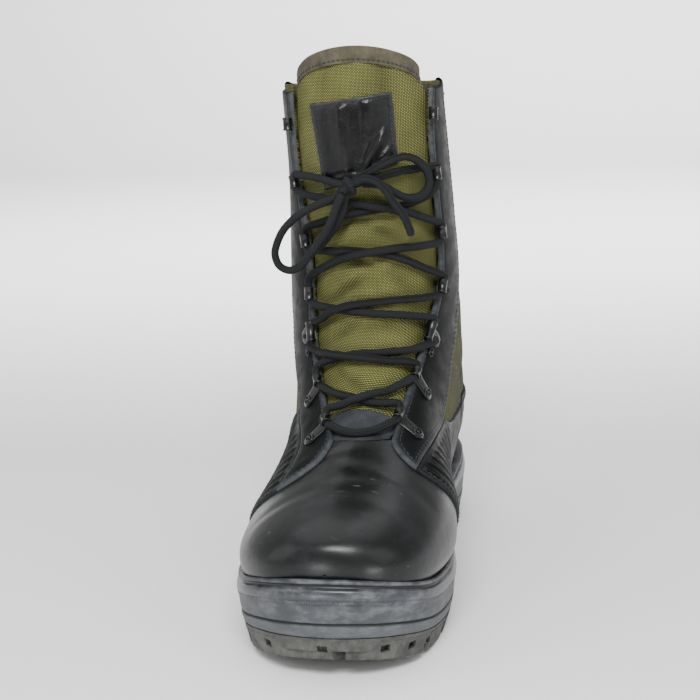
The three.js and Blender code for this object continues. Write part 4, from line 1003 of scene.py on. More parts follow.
def upperShell():
    edges = {side: throatEdge(side, 0.6) for side in (1, -1)}
    rows = [0.02, 0.06, 0.12, 0.2, 0.3, 0.42, 0.55, 0.7, 0.85]
    ridge = np.linspace(1, lastSection, 2000)
    run = runOf(formPoint(ridge, np.full(2000, 0.9)))
    rows += list(np.interp(np.arange(0, run[-1], shellLook['stepMm']), run, ridge))
    start = shellLook['openFrom']
    rows = np.array(sorted(rows + list(start + np.array([0, 0.02, 0.05, 0.09, 0.14, 0.2, 0.27]))))
    half = shellLook['columns']
    angles = []
    for side in (1, -1):
        edge = edges[side]
        order = np.argsort(edge[:, 0])
        opening = np.interp(rows, edge[order, 0], np.abs(edge[order, 1]))
        opening = np.where(rows < start, 0, opening * np.clip((rows - start) / 0.3, 0, 1)**0.5)
        share = np.linspace(0, 1, half)[None]
        angles.append(side * (opening[:, None] + (np.pi - opening[:, None]) * share))
    angle = np.concatenate([angles[0], angles[1][:, ::-1]], 1)
    section = np.repeat(rows[:, None], angle.shape[1], 1)
    top = collarSection(angle.ravel(), 1.0).reshape(angle.shape)
    section = np.minimum(section, top)
    points = skinPoint(section, angle, 0.0)
    along = yOf(points[..., 1])
    seat = soleAt('seat', along)
    rowCount, columnCount = angle.shape
    vampFaces, shaftFaces = [], []
    for face in gridFaces(rowCount, columnCount, True):
        r = face[0] // columnCount
        corners = [points.reshape(-1, 3)[i] for i in face]
        if all(section.ravel()[i] >= top.ravel()[i] - 1e-9 for i in face):
            continue
        if face[0] % columnCount == columnCount - 1 and rows[min(r + 1, rowCount - 1)] > start + 1e-6:
            continue
        if all(points.reshape(-1, 3)[i][2] < seat.ravel()[i] - 0.5 for i in face):
            continue
        ahead = sum(yOf(c[1]) for c in corners) / 4 > shellLook['vampEnd']
        (vampFaces if ahead else shaftFaces).append(face)
    # the weave lies level and upright on the sides and bends round the back with the shaft
    behind = np.clip((points[..., 1] - shellLook['backFrom']) / shellLook['backRadius'], 0, 1)
    lay = np.minimum(points[..., 1], shellLook['backFrom']) + shellLook['backRadius'] * np.arcsin(behind)
    uv = np.stack([points[..., 2], lay], -1) * mm
    for name, faces, material, slotName in (('vamp', vampFaces, vampLeather, 'black_leather'),
                                            ('shaft', shaftFaces, shaftNylonCloth, 'nylon')):
        used = sorted({i for face in faces for i in face})
        index = {old: new for new, old in enumerate(used)}
        piece = makePiece(name, points.reshape(-1, 3)[used], [tuple(index[i] for i in f) for f in faces],
                          material,
                          slotName, uv.reshape(-1, 2)[used], np.zeros(len(used)))
        cleaned = bmesh.new()
        cleaned.from_mesh(piece.data)
        bmesh.ops.remove_doubles(cleaned, verts=cleaned.verts, dist=1e-6)
        bmesh.ops.recalc_face_normals(cleaned, faces=cleaned.faces)
        cleaned.to_mesh(piece.data)
        cleaned.free()
        thick = piece.modifiers.new('wall', 'SOLIDIFY')
        thick.thickness = wall * mm
        thick.offset = -1
        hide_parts('upper')
        yield piece


# Facings: lacing panels with a rolled edge along the opening and down the wing
facingLook = {'seat': 0.25, 'thickness': 1.5, 'roll': 1.3, 'step': 1.5, 'material': facingLeather,
              'slot': 'black_leather', 'wearReach': 1.9}
rolledEdge = {'width': 3.4, 'rise': 0.55, 'groove': 0.35}


def facingEdges(side):
    name = 'Medial' if side > 0 else 'Lateral'
    collarUp = 286.0
    inner = throatEdge(side, 0.0, 103.2, collarUp - 3)[::-1]
    wing = lineOnForm('wing' + name, name.lower())
    back = lineOnForm('facingBack' + name, name.lower())
    backPoints = formAt(back)
    back = back[backPoints[:, 2] < collarUp]
    # the wing's tip is where its edge meets the facing's back edge
    ends = formAt(wing)
    tip = formAt(back[-1:])
    cut = int(np.argmin(np.linalg.norm(ends - tip, axis=1)))
    front = np.vstack([inner, wing[1:cut + 1]])
    return smoothList(front), back, wing[cut:]


def smoothList(values, passes=2):
    # Each value drawn towards its neighbours, with both ends kept
    out = values.copy()
    for _ in range(passes):
        out[1:-1] = out[:-2] * 0.25 + out[1:-1] * 0.5 + out[2:] * 0.25
    return out


def facingRelief(fromA, fromB, fromStart, fromEnd, flat):
    width = rolledEdge['width']
    bead = rolledEdge['rise'] * np.exp(-((fromA - width / 2) / (width * 0.42))**2)
    groove = -rolledEdge['groove'] * np.exp(-((fromA - width - 0.9) / 0.55)**2)
    return bead + groove


def facings():
    for side in (1, -1):
        front, back, _ = facingEdges(side)
        look = dict(facingLook, flip=side < 0)
        name = 'facingMedial' if side > 0 else 'facingLateral'
        piece = raisedPanel(name, front, back, look, facingRelief)
        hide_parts('facing_medial' if side > 0 else 'facing_lateral')
        yield piece, front, back


# Ankle panels with slanting embossed welts
quarterLook = {'seat': 0.2, 'thickness': 1.45, 'roll': 1.1, 'step': 1.3, 'material': panelLeather,
               'slot': 'black_leather', 'wearReach': 1.3}
weltLook = {'pitch': 9.5, 'half': 1.3, 'rise': 0.75, 'slant': 0.75, 'from': 128.0, 'to': 232.0}


def quarterRelief(fromA, fromB, fromStart, fromEnd, flat):
    along = yOf(flat[..., 1])
    band = (along - weltLook['slant'] * (flat[..., 2] - 60)) / weltLook['pitch']
    off = (band - np.round(band)) * weltLook['pitch']
    ridge = np.exp(-(off / weltLook['half'])**2) - 0.5 * np.exp(-((np.abs(off) - 3.0) / 0.8)**2)
    inside = np.clip((along - weltLook['from']) / 6, 0, 1) * np.clip((fromA - 3.5) / 2, 0, 1)
    border = np.clip((np.minimum(fromB, fromEnd) - 3) / 2, 0, 1)
    seam = -0.35 * np.exp(-((fromB - 2.8) / 0.5)**2)
    return weltLook['rise'] * ridge * inside * border + seam


def quarterPanels(edges):
    for side in (1, -1):
        name = 'Medial' if side > 0 else 'Lateral'
        seen = name.lower()
        back, wingRest = edges[side]
        top = lineOnForm('quarterTop', seen)
        topPoints = formAt(top)
        backPoints = formAt(back)
        # the panel's top edge runs to where it goes under the facing, then follows the facing to the tip
        distance = np.linalg.norm(topPoints[:, None] - backPoints[None], axis=2)
        i, j = np.unravel_index(distance.argmin(), distance.shape)
        alongs = yOf(topPoints[:, 1])
        keep = (np.arange(len(top)) <= i) & (alongs > 81.5)
        upper = np.vstack([top[keep], back[j + 2:]])
        wingPoints = formAt(wingRest)
        wingAlong = yOf(wingPoints[:, 1])
        low = wingPoints[:, 2] > soleAt('rand', wingAlong) - 1.5
        rest = wingRest[low]
        startAlong, endAlong = 92.0, yOf(formAt(rest[-1])[1])
        alongs = np.linspace(startAlong, endAlong, 30)
        rand = onForm(np.stack([alongs, soleAt('rand', alongs) - 1.5], -1), seen)
        lower = np.vstack([rand, rest[::-1]])
        look = dict(quarterLook, flip=side > 0)
        piece = raisedPanel('quarterPanel' + name, upper, lower, look, quarterRelief)
        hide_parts('quarter_panel_' + seen)
        yield piece, upper, rest


# Heel counter and back stay
counterLook = {'seat': 0.2, 'thickness': 1.45, 'roll': 1.1, 'step': 1.6, 'material': panelLeather,
               'slot': 'black_leather', 'wearReach': 1.3}


def heelCounter():
    alongs = np.concatenate([np.linspace(81, 20, 30), [17, 14.5]])
    tops = smoothFlat(patternLine['counterTop'], 10)
    topUps = np.interp(alongs, tops[:, 0], tops[:, 1])
    fronts = {}
    for side, seen in ((1, 'medial'), (-1, 'lateral')):
        top = onForm(np.stack([alongs, topUps], -1), seen)
        lows = np.linspace(91, 22, len(alongs))
        low = onForm(np.stack([lows, soleAt('rand', lows) - 1.5], -1), seen)
        fronts[side] = (top, low)
    def joined(k, upAtBack):
        medial, lateral = fronts[1][k], fronts[-1][k]
        lateral = np.stack([lateral[:, 0], lateral[:, 1] + 2 * np.pi], -1)[::-1]
        # across the back the line keeps its height while the angle turns through half a turn
        angles = np.linspace(medial[-1, 1], lateral[0, 1], 26)[1:-1]
        low, high = np.full(len(angles), 11.0), np.full(len(angles), 18.0)
        for _ in range(40):
            middle = (low + high) / 2
            above = formPoint(middle, angles)[:, 2] > upAtBack
            high, low = np.where(above, middle, high), np.where(above, low, middle)
        return np.vstack([medial, np.stack([(low + high) / 2, angles], -1), lateral])
    upper, lower = joined(0, topUps[-1] + 0.2), joined(1, float(soleAt('rand', 10)) - 1.5)
    upper[:, 0], lower[:, 0] = smoothList(upper[:, 0], 6), smoothList(lower[:, 0], 6)
    piece = raisedPanel('heelCounter', upper, lower, dict(counterLook, flip=True))
    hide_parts('heel_counter')
    return piece, upper, lower


def backstay():
    ups = np.linspace(101.5, 275, 60)
    edges = []
    for side in (1, -1):
        lean = np.interp(ups, [60, 400], [-3, -6])
        edges.append(onForm(np.stack([side * 14 + lean, ups], -1), 'back'))
    edges[1][:, 1] += 2 * np.pi * (edges[1][:, 1] < 0)
    edges[0][:, 1] += 2 * np.pi * (edges[0][:, 1] < 0)
    piece = raisedPanel('backstayStrip', edges[0], edges[1], dict(counterLook, flip=False))
    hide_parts('backstay')
    return piece, edges


# Tape folded over the collar, from facing to facing: how far down it lies and how far off the form
collarTape = {'depth': 9.0, 'profile': [(9.0, 0.0), (9.0, 0.75), (8.4, 0.95), (5.0, 0.85), (1.2, 0.9),
                                        (-0.4, 0.6), (-1.2, -0.4), (-1.2, -1.7), (-0.4, -2.8), (1.2, -3.1),
                                        (5.0, -3.0), (8.6, -3.0), (9.0, -2.6), (9.0, -2.2)]}


def collarBinding():
    starts = [onForm([[79.0, 284.0]], seen)[0, 1] for seen in ('medial', 'lateral')]
    angles = np.linspace(starts[0], starts[1] + 2 * np.pi, 160)
    profile = collarTape['profile']
    rows = []
    for drop, height in profile:
        rows.append(skinPoint(collarSection(angles, drop), angles, height))
    points = np.stack(rows)
    run = runOf(points[3])
    rise = np.cumsum([0] + [math.dist(a, b) for a, b in zip(profile, profile[1:])])
    uv = np.stack(np.broadcast_arrays(run[None], rise[:, None]), -1) * mm
    faces = gridFaces(len(profile), len(angles))
    piece = makePiece('collarBinding', points, faces, bindingTape, 'tape', uv)
    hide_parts('collar_binding')
    edge = np.stack([collarSection(angles, 7.6), angles], -1)
    return piece, edge


# Midsole: its side from the joint up, as share of the height and how far it stands in, in mm
soleLook = {'places': 420, 'side': [(0.0, 3.4), (0.02, 2.9), (0.1, 2.2), (0.185, 1.75), (0.2, 1.8),
                                    (0.212, 2.4), (0.225, 3.0), (0.245, 3.0), (0.258, 2.5), (0.27, 1.85),
                                    (0.29, 1.6), (0.4, 1.15), (0.5, 1.0), (0.585, 1.0), (0.592, 0.7),
                                    (0.6, 0.35), (0.625, 0.2), (0.65, 0.2), (0.66, 0.4), (0.67, 0.1),
                                    (0.69, -0.05), (0.75, 0.05), (0.81, 0.45), (0.835, 0.95), (0.845, 1.6),
                                    (0.858, 2.6), (0.88, 3.1), (0.91, 3.0), (0.922, 2.3), (0.933, 1.5),
                                    (0.95, 1.15), (0.972, 1.25), (0.985, 1.6), (0.995, 2.3), (1.0, 3.2)],
            'seam': {'x': -15.0, 'half': 0.5, 'rise': 0.4}}


def soleOutline(count):
    # Places round the sole's edge, evenly apart: (place, side) with its point and outward direction, in mm
    dense = np.linspace(0, lastSolePlace, 1500)
    medial = np.stack([sole['medial'](dense), yOf(sole['along'](dense))], -1)
    lateral = np.stack([sole['lateral'](dense), yOf(sole['along'](dense))], -1)
    loop = np.vstack([medial, lateral[-2:0:-1]])
    alongs = np.concatenate([sole['along'](dense), sole['along'](dense)[-2:0:-1]])
    closed = np.vstack([loop, loop[:1]])
    run = runOf(closed)
    at = np.linspace(0, run[-1], count, endpoint=False)
    points = np.stack([np.interp(at, run, closed[:, k]) for k in (0, 1)], -1)
    along = np.interp(at, run, np.append(alongs, alongs[0]))
    step = np.roll(points, -1, 0) - np.roll(points, 1, 0)
    outward = unit(np.stack([-step[:, 1], step[:, 0]], -1))
    if np.sum((points - points.mean(0)) * outward) < 0:
        outward = -outward
    for _ in range(12):
        outward = unit(np.roll(outward, 1, 0) + 2 * outward + np.roll(outward, -1, 0))
    return points, outward, along, at


def soleSolid(rings, count):
    # A closed body through rings round the sole, its flats laid across from side to side
    points = np.vstack(rings)
    faces = gridFaces(len(rings), count, True)
    half = count // 2
    for start, turned in ((0, True), ((len(rings) - 1) * count, False)):
        for i in range(half):
            a, b = start + i, start + i + 1
            c, d = start + (count - i) % count, start + (count - i - 1) % count
            quad = list(dict.fromkeys([a, b, d, c]))
            if len(quad) > 2:
                faces.append(tuple(reversed(quad)) if turned else tuple(quad))
    return points, facedOut(points, faces)


def ringAt(outline, inset, heights):
    points, outward = outline[:2]
    place = points - outward * np.asarray(inset)[..., None]
    return np.column_stack([place, heights])


def formBody(offset, lastPlace=15.5):
    # A closed body of the form's lower part, used to cut the sole's cup
    rows = np.concatenate([[0.04, 0.12, 0.25, 0.4, 0.6, 0.8], np.arange(1, lastPlace, 0.2)])
    angles = np.linspace(-np.pi, np.pi, 120, endpoint=False)
    points = [offForm(r, angles, offset) for r in rows]
    count = len(angles)
    flat = np.vstack(points + [points[0].mean(0)[None], points[-1].mean(0)[None]])
    faces = gridFaces(len(rows), count, True)
    last = (len(rows) - 1) * count
    faces += [(count * len(rows), (i + 1) % count, i) for i in range(count)]
    faces += [(count * len(rows) + 1, last + i, last + (i + 1) % count) for i in range(count)]
    return flat, facedOut(flat, faces)


def midsole():
    outline = soleOutline(soleLook['places'])
    points, _, along, run = outline
    joint, rand = soleAt('joint', along) + gap / 2, soleAt('rand', along)
    seam = soleLook['seam']
    ridge = seam['rise'] * np.exp(-((points[:, 0] - seam['x']) / seam['half'])**2) * (along > 250)
    rings, uv = [], []
    for share, inset in soleLook['side']:
        rings.append(ringAt(outline, inset - ridge, joint + (rand - joint) * share))
        uv.append(np.column_stack([run * mm, np.full(len(run), share * 0.1)]))
    flat, faces = soleSolid(rings, len(run))
    piece = makePiece('midsoleRubber', flat, faces, soleRubber, 'sole_rubber', np.vstack(uv))
    cutter = makePiece('cup', *formBody(0.25), soleRubber, 'sole_rubber')
    boolean(piece, cutter)
    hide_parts('midsole')
    return piece


# Outsole: lugs stand below a slab, with channels across and a zigzag one along the middle
treadLook = {'depth': 5.0, 'pitch': 27.0, 'channel': 6.0, 'first': 4.0, 'slant': 22.0, 'breast': 84.0,
             'archRise': 13.0, 'toeSpring': 12.0, 'heelBevel': (14.0, 3.0), 'ball': (150.0, 238.0),
             'notches': [(-38, 290), (-4, 306), (30, 296), (43, 283), (50, 266), (-51, 268)],
             'notchSize': (5.2, 4.0, 2.6)}


def underside(along):
    length, rise = treadLook['heelBevel']
    start, end = treadLook['ball']
    along = np.asarray(along, float)
    heel = rise * (1 - np.clip(along / length, 0, 1))**2
    t = np.clip((along - treadLook['breast']) / (start - treadLook['breast']), 0, 1)
    arch = treadLook['archRise'] * (1 - t * t * (3 - 2 * t)) * (along > treadLook['breast'])
    toe = treadLook['toeSpring'] * (np.clip(along - end, 0, None) / (bootSize['soleLength'] - end))**1.7
    return heel + arch + toe


def prism(outline, low, high):
    # A closed block over a flat outline of (x, along)
    flat = np.array([(x, yOf(a)) for x, a in outline])
    count = len(flat)
    points = np.vstack([np.column_stack([flat, np.full(count, h)]) for h in (low, high)])
    faces = [(i, (i + 1) % count, count + (i + 1) % count, count + i) for i in range(count)]
    faces += [tuple(range(count - 1, -1, -1)), tuple(range(count, 2 * count))]
    return points, facedOut(points, faces)


def nearestOnOutline(outline, x, along):
    points, outward, alongs, _ = outline
    i = int(np.argmin(np.hypot(points[:, 0] - x, points[:, 1] - yOf(along))))
    return points[i], outward[i], float(alongs[i])


def notchBlock(point, outward, along):
    # A small block let into the sole's side above the lugs
    width, tall, depth = treadLook['notchSize']
    side = np.array([-outward[1], outward[0]])
    middle = float(soleAt('joint', along)) - 4.6 - tall / 2
    points = []
    for z in (middle - tall / 2, middle + tall / 2):
        for a, b in ((-width / 2, -5.6 - depth), (width / 2, -5.6 - depth), (width / 2, 4), (-width / 2, 4)):
            points.append((*(point + side * a + outward * b), z))
    faces = [(0, 1, 2, 3), (7, 6, 5, 4), (0, 4, 5, 1), (1, 5, 6, 2), (2, 6, 7, 3), (3, 7, 4, 0)]
    return np.array(points), facedOut(points, faces)


def outsole():
    outline = soleOutline(soleLook['places'])
    _, _, along, run = outline
    top = soleAt('joint', along) - gap / 2
    below = underside(along)
    floorUp = np.minimum(below + treadLook['depth'], top - 3)
    rings = [ringAt(outline, 6.6, below), ringAt(outline, 6.0, below + 0.35),
             ringAt(outline, 5.6, below + 1.0), ringAt(outline, 4.6, below + (top - below) * 0.45),
             ringAt(outline, 3.6, below + (top - below) * 0.75),
             ringAt(outline, 3.4, below + (top - below) * 0.82)]
    flat, faces = soleSolid(rings, len(run))
    uv = np.column_stack([np.tile(run, len(rings)) * mm, flat[:, 2] * mm])
    lugs = makePiece('outsoleTread', flat, faces, treadRubber, 'tread_rubber', uv)
    channel, reach = treadLook['channel'], 90
    starts = np.arange(treadLook['first'], bootSize['soleLength'], treadLook['pitch'])
    for start in starts:
        if treadLook['breast'] - channel <= start < treadLook['ball'][0] - 14:
            continue
        for side in (1, -1):
            block = [(-0.01 * side, start), (side * reach, start - treadLook['slant']),
                     (side * reach, start - treadLook['slant'] + channel), (-0.01 * side, start + channel)]
            boolean(lugs, makePiece('channel', *prism(block, -5, 90), treadRubber, 'tread_rubber',
                                    smooth=False), 'DIFFERENCE')
    spine = [((4 if i % 2 else -4) + 2 + 3 * (10 + 30.2 * i) / 306, 10 + 30.2 * i) for i in range(11)]
    block = [(x - channel / 2, a) for x, a in spine] + [(x + channel / 2, a) for x, a in reversed(spine)]
    boolean(lugs, makePiece('channel', *prism(block, -5, 90), treadRubber, 'tread_rubber', smooth=False),
            'DIFFERENCE')
    slabRings = [ringAt(outline, 5.2, floorUp), ringAt(outline, 4.8, floorUp + 0.6),
                 ringAt(outline, 3.2, top - 0.6), ringAt(outline, 3.0, top)]
    slab = makePiece('slab', *soleSolid(slabRings, len(run)), treadRubber, 'tread_rubber')
    boolean(lugs, slab, 'UNION')
    lugs.data.polygons.foreach_set('use_smooth', [False] * len(lugs.data.polygons))
    for x, along in treadLook['notches']:
        at = nearestOnOutline(outline, x, along)
        boolean(lugs, makePiece('notch', *notchBlock(*at), treadRubber, 'tread_rubber', smooth=False),
                'DIFFERENCE')
    soft = lugs.modifiers.new('edge', 'BEVEL')
    soft.width, soft.segments, soft.limit_method, soft.angle_limit = 0.5 * mm, 2, 'ANGLE', math.radians(40)
    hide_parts('outsole')
    return lugs


def insole():
    # Felt bed from toe to heel, on the seat, between the walls
    rows, halves = np.linspace(0.25, 13.55, 90), np.linspace(-1, 1, 24)
    lift = 4.0
    edges = []
    for side in (1, -1):
        low, high = np.full(len(rows), 0.5 * np.pi), np.full(len(rows), np.pi)
        for _ in range(40):
            middle = (low + high) / 2
            p = offForm(rows, side * middle, np.full(len(rows), -wall - gap))
            above = p[:, 2] > soleAt('seat', yOf(p[:, 1])) + lift
            low, high = np.where(above, middle, low), np.where(above, high, middle)
        edges.append(offForm(rows, side * low, np.full(len(rows), -wall - gap - 0.2)))
    share = (halves + 1) / 2
    points = edges[1][:, None] * (1 - share[None, :, None]) + edges[0][:, None] * share[None, :, None]
    points[..., 2] -= 0.9 * (1 - halves[None]**2)
    uv = np.stack(np.broadcast_arrays(rows[:, None] * 0.02, share[None] * 0.08), -1)
    piece = makePiece('insoleFelt', points, gridFaces(*points.shape[:2]), felt, 'sock_felt', uv)
    thick = piece.modifiers.new('felt', 'SOLIDIFY')
    thick.thickness, thick.offset = 2.5 * mm, 0
    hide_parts('insole')
    return piece


# Tongue: nylon sheet behind the facings, its grey leather root, tape, and blank leather patch
tongueLook = {'offset': -(2.2 + 0.3), 'thickness': 2.2, 'low': 95.5,
              'top': {'middle': -6.5, 'half': 36.4, 'edge': 294.5, 'crown': 308.5, 'power': 0.54},
              'sides': [(26, 94), (37, 112), (42, 135), (43, 165), (43, 200), (42, 250), (39.4, 278),
                        (36.8, 294)],
              'rootArch': {'middle': 1.0, 'half': 21.5, 'edge': 102.5, 'crown': 113.6}}
# Folds of the tongue seen from ahead: (x, up) of the middle, half length, half width, lean in degrees, rise
tongueFolds = [(-8, 125, 19, 2.8, -18, -1.7), (10, 121, 14, 2.5, 14, -1.6), (2, 128, 18, 3.2, -4, 1.6),
               (0, 143, 20, 3.2, 3, 2), (-16, 148, 12, 3, 35, -1.7), (16, 150, 14, 3.4, -25, -1.1),
               (0, 152.5, 30, 2.5, 0, -1.1), (0, 170, 21, 3, 5, 1.7), (-12, 178, 16, 3, 38, 2.5),
               (-15, 171, 19, 3, 32, -2.8), (2, 182, 16, 3.4, 24, 2.8), (-5, 187, 16, 2.8, -20, -2.8),
               (14, 186, 15, 3, -30, -1.7), (20, 174, 12, 3.4, -50, -1.6), (-6, 203, 15, 3.2, 28, 2.5),
               (-16, 208, 15, 2.8, 40, -3.1), (8, 204, 16, 3.2, -22, -2.1), (14, 210, 12, 3, 14, 2),
               (-2, 211, 14, 2.8, 5, -1.6), (24, 200, 8, 2.6, 60, 1.6), (6, 230, 14, 3.4, 8, 1.7),
               (26, 236, 12, 4, 75, 1.6), (-4, 291, 14, 5, 84, 1.7), (12, 290, 22, 4.6, 88, -1.4),
               (26, 268, 22, 5, 84, 1.1), (-24, 292, 16, 4.6, 80, -1.1), ]


def frontFolds(x, up, folds):
    total = np.zeros(np.broadcast(x, up).shape)
    for middleX, middleUp, length, width, lean, rise in folds:
        c, s = math.cos(math.radians(lean)), math.sin(math.radians(lean))
        u, v = (x - middleX) * c + (up - middleUp) * s, -(x - middleX) * s + (up - middleUp) * c
        total += rise * np.exp(-(u / length)**2 * 1.4 - (v / width)**2)
    return total


def tongueTop(t, drop=0.0):
    top = tongueLook['top']
    rise = np.clip(1 - t * t, 0, 1)**top['power']
    x = top['middle'] + t * (top['half'] + 0.2 + 0.012 * drop)
    return x, top['edge'] + (top['crown'] - top['edge']) * rise - drop


def tongueMiddle(up):
    high = throatAt(200.0)[0]
    return np.where(up > 200, high + (tongueLook['top']['middle'] - high) * np.clip((up - 200) / 90, 0, 1.05),
                    throatAt(up)[0])


def tongueSheet():
    ts = np.sin(np.linspace(-np.pi / 2, np.pi / 2, 96))
    shares = np.linspace(0, 1, 230)
    top = tongueLook['top']
    rim = top['edge'] + (top['crown'] - top['edge']) * np.clip(1 - ts**2, 0, 1)**top['power']
    up = tongueLook['low'] + (rim[None] - 1.0 - tongueLook['low']) * shares[:, None]
    sides = np.array(tongueLook['sides'])
    half = np.interp(up, sides[:, 1], sides[:, 0])
    x = tongueMiddle(up) + ts[None] * half
    found = onForm(np.stack([x.ravel(), up.ravel()], -1), 'front').reshape(*up.shape, 2)
    quiet = np.clip((1 - np.abs(ts)) / 0.2, 0, 1)[None]
    folds = frontFolds(x, up, tongueFolds) * quiet
    points = skinAt(found, tongueLook['offset'] + folds)
    uv = np.stack([up, x], -1) * mm
    # Painted shade: the fold troughs get a darkening, and the whole sheet a little of it, which the cloth's
    # material mixes into its colour
    paintedFoldShade = np.clip(0.1 - folds / 3, 0, 1)
    piece = makePiece('tongueSheet', points, gridFaces(*up.shape), tongueNylonCloth, 'nylon', uv, paintedFoldShade)
    thick = piece.modifiers.new('thick', 'SOLIDIFY')
    thick.thickness, thick.offset = tongueLook['thickness'] * mm, -1
    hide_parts('tongue')
    return piece


def tongueRoot():
    # Grey leather sewn over the foot of the tongue, its upper edge arched
    arch = tongueLook['rootArch']
    shares = spread(2 * arch['half'], 0.8, 1.0)
    x = arch['middle'] + (shares * 2 - 1) * arch['half']
    rim = arch['edge'] + (arch['crown'] - arch['edge']) * np.clip(1 - (shares * 2 - 1)**2, 0, 1)**0.55
    rows = 1 - spread(18, 0.8, 1.0)[::-1]
    up = tongueLook['low'] + (rim[None] - tongueLook['low']) * (1 - rows[:, None])
    across = np.broadcast_to(x[None], up.shape)
    edge = np.minimum((rim[None] - up), np.minimum(shares, 1 - shares)[None] * 2 * arch['half'])
    height = tongueLook['offset'] - 0.3 + rolled(np.clip(edge / 0.8, 0, 1))
    found = onForm(np.stack([across.ravel(), up.ravel()], -1), 'front').reshape(*up.shape, 2)
    height += frontFolds(across, up, tongueFolds)
    points = skinAt(found, height)
    faces = [tuple(reversed(f)) for f in gridFaces(*up.shape)]
    piece = makePiece('tongueRoot', points, facedFront(points, faces), rootLeather, 'black_leather',
                      np.stack([across, up], -1) * mm, np.zeros(up.size))
    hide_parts('tongue')


def facedFront(points, faces):
    # Faces of an open sheet turned to look ahead
    p = np.asarray(points, float).reshape(-1, 3)
    f = np.array(faces)
    normal = np.cross(p[f[:, 1]] - p[f[:, 0]], p[f[:, 2]] - p[f[:, 0]])
    return faces if normal[:, 1].sum() < 0 else [tuple(reversed(face)) for face in faces]


tongueTapeLook = {'profile': [(8.6, 0.2), (8.6, 0.9), (8.0, 1.15), (4.5, 1.05), (1.2, 1.1), (0.0, 0.9),
                              (-0.9, 0.1),
                              (-1.2, -1.2), (-0.6, -2.4), (1.0, -3.0), (4.5, -2.9), (8.0, -2.8), (8.6, -2.4)]}


def tongueTape():
    ts = np.sin(np.linspace(-np.pi / 2, np.pi / 2, 110)) * 0.999
    rows = []
    for drop, rise in tongueTapeLook['profile']:
        x, up = tongueTop(ts, drop)
        found = onForm(np.stack([x, up], -1), 'front')
        rows.append(skinAt(found, tongueLook['offset'] + rise))
    points = np.stack(rows)
    run = runOf(points[3])
    profile = tongueTapeLook['profile']
    depth = np.cumsum([0] + [math.dist(a, b) for a, b in zip(profile, profile[1:])])
    uv = np.stack(np.broadcast_arrays(run[None], depth[:, None]), -1) * mm
    piece = makePiece('tongueTape', points, gridFaces(len(profile), len(ts)), bindingTape, 'tape', uv)
    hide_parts('tongue_tape')
    x, up = tongueTop(ts, 6.6)
    return piece, onForm(np.stack([x, up], -1), 'front')


patchLook = {'corners': [(-26, 228), (19, 243), (16.5, 283), (-34.5, 277)], 'thickness': 1.3, 'roll': 1.1}
# Folds of the patch, as in tongueFolds
patchFolds = [(-13.5, 264, 28, 3.4, 94, 2.2), (-5.5, 262, 28, 2.8, 91, -2.4), (1.5, 272, 14, 3.0, 86, 1.0),
              (8, 255, 13, 2.2, 60, 1.8), (3.5, 252, 12, 1.5, 62, -1.8), (11.5, 248, 9, 1.6, 55, 1.3),
              (8, 243.5, 8, 1.3, 45, -0.9), (13, 262, 10, 1.8, 70, -0.8), (-22, 262, 22, 4, 98, -0.6),
              (-12, 234, 9, 2.6, 10, 0.7), (-12, 238, 10, 1.6, 5, -0.6)]


def tonguePatch():
    a, b, c, d = (np.array(p, float) for p in patchLook['corners'])
    width, depth = np.linalg.norm(b - a), np.linalg.norm(d - a)
    u, v = spread(width, patchLook['roll'], 0.9), spread(depth, patchLook['roll'], 0.9)
    U, V = np.meshgrid(u, v)
    flat = (a * ((1 - U) * (1 - V))[..., None] + b * (U * (1 - V))[..., None] + c * (U * V)[..., None]
            + d * ((1 - U) * V)[..., None])
    edge = np.minimum(np.minimum(U, 1 - U) * width, np.minimum(V, 1 - V) * depth)
    rise = np.clip(edge / patchLook['roll'], 0, 1)
    height = patchLook['thickness'] * rolled(rise)
    inside = np.clip((edge - 1.5) / 3, 0, 1)
    folded = height + frontFolds(flat[..., 0], flat[..., 1], patchFolds) * inside
    height = np.where(inside > 0, np.maximum(folded, 0.3 + 0.15 * folded), height)
    height -= 0.3 * np.exp(-((edge - 2.3) / 0.5)**2)
    wear = np.exp(-edge / 1.2)
    pad = lambda grid: np.pad(grid, [(1, 1), (1, 1)] + [(0, 0)] * (grid.ndim - 2), mode='edge')
    flat, height, wear = pad(flat), pad(height), pad(wear)
    for rim in (height[0], height[-1], height[:, 0], height[:, -1]):
        rim[:] = -0.9
    found = onForm(flat.reshape(-1, 2), 'front').reshape(flat.shape)
    folds = frontFolds(flat[..., 0], flat[..., 1], tongueFolds)
    points = skinAt(found, tongueLook['offset'] + 0.3 + height + folds)
    piece = makePiece('tonguePatch', points, gridFaces(*height.shape), patchLeather, 'black_leather',
                      flat * mm, wear)
    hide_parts('tongue_patch')
    inset = [(0.05, 0.06), (0.95, 0.06), (0.95, 0.94), (0.05, 0.94), (0.05, 0.06)]
    seam = []
    for (u0, v0), (u1, v1) in zip(inset, inset[1:]):
        for t in np.linspace(0, 1, 24, endpoint=False):
            uu, vv = u0 + (u1 - u0) * t, v0 + (v1 - v0) * t
            seam.append(a * (1 - uu) * (1 - vv) + b * uu * (1 - vv) + c * uu * vv + d * (1 - uu) * vv)
    seam.append(seam[0])
    return piece, onForm(np.array(seam), 'front')


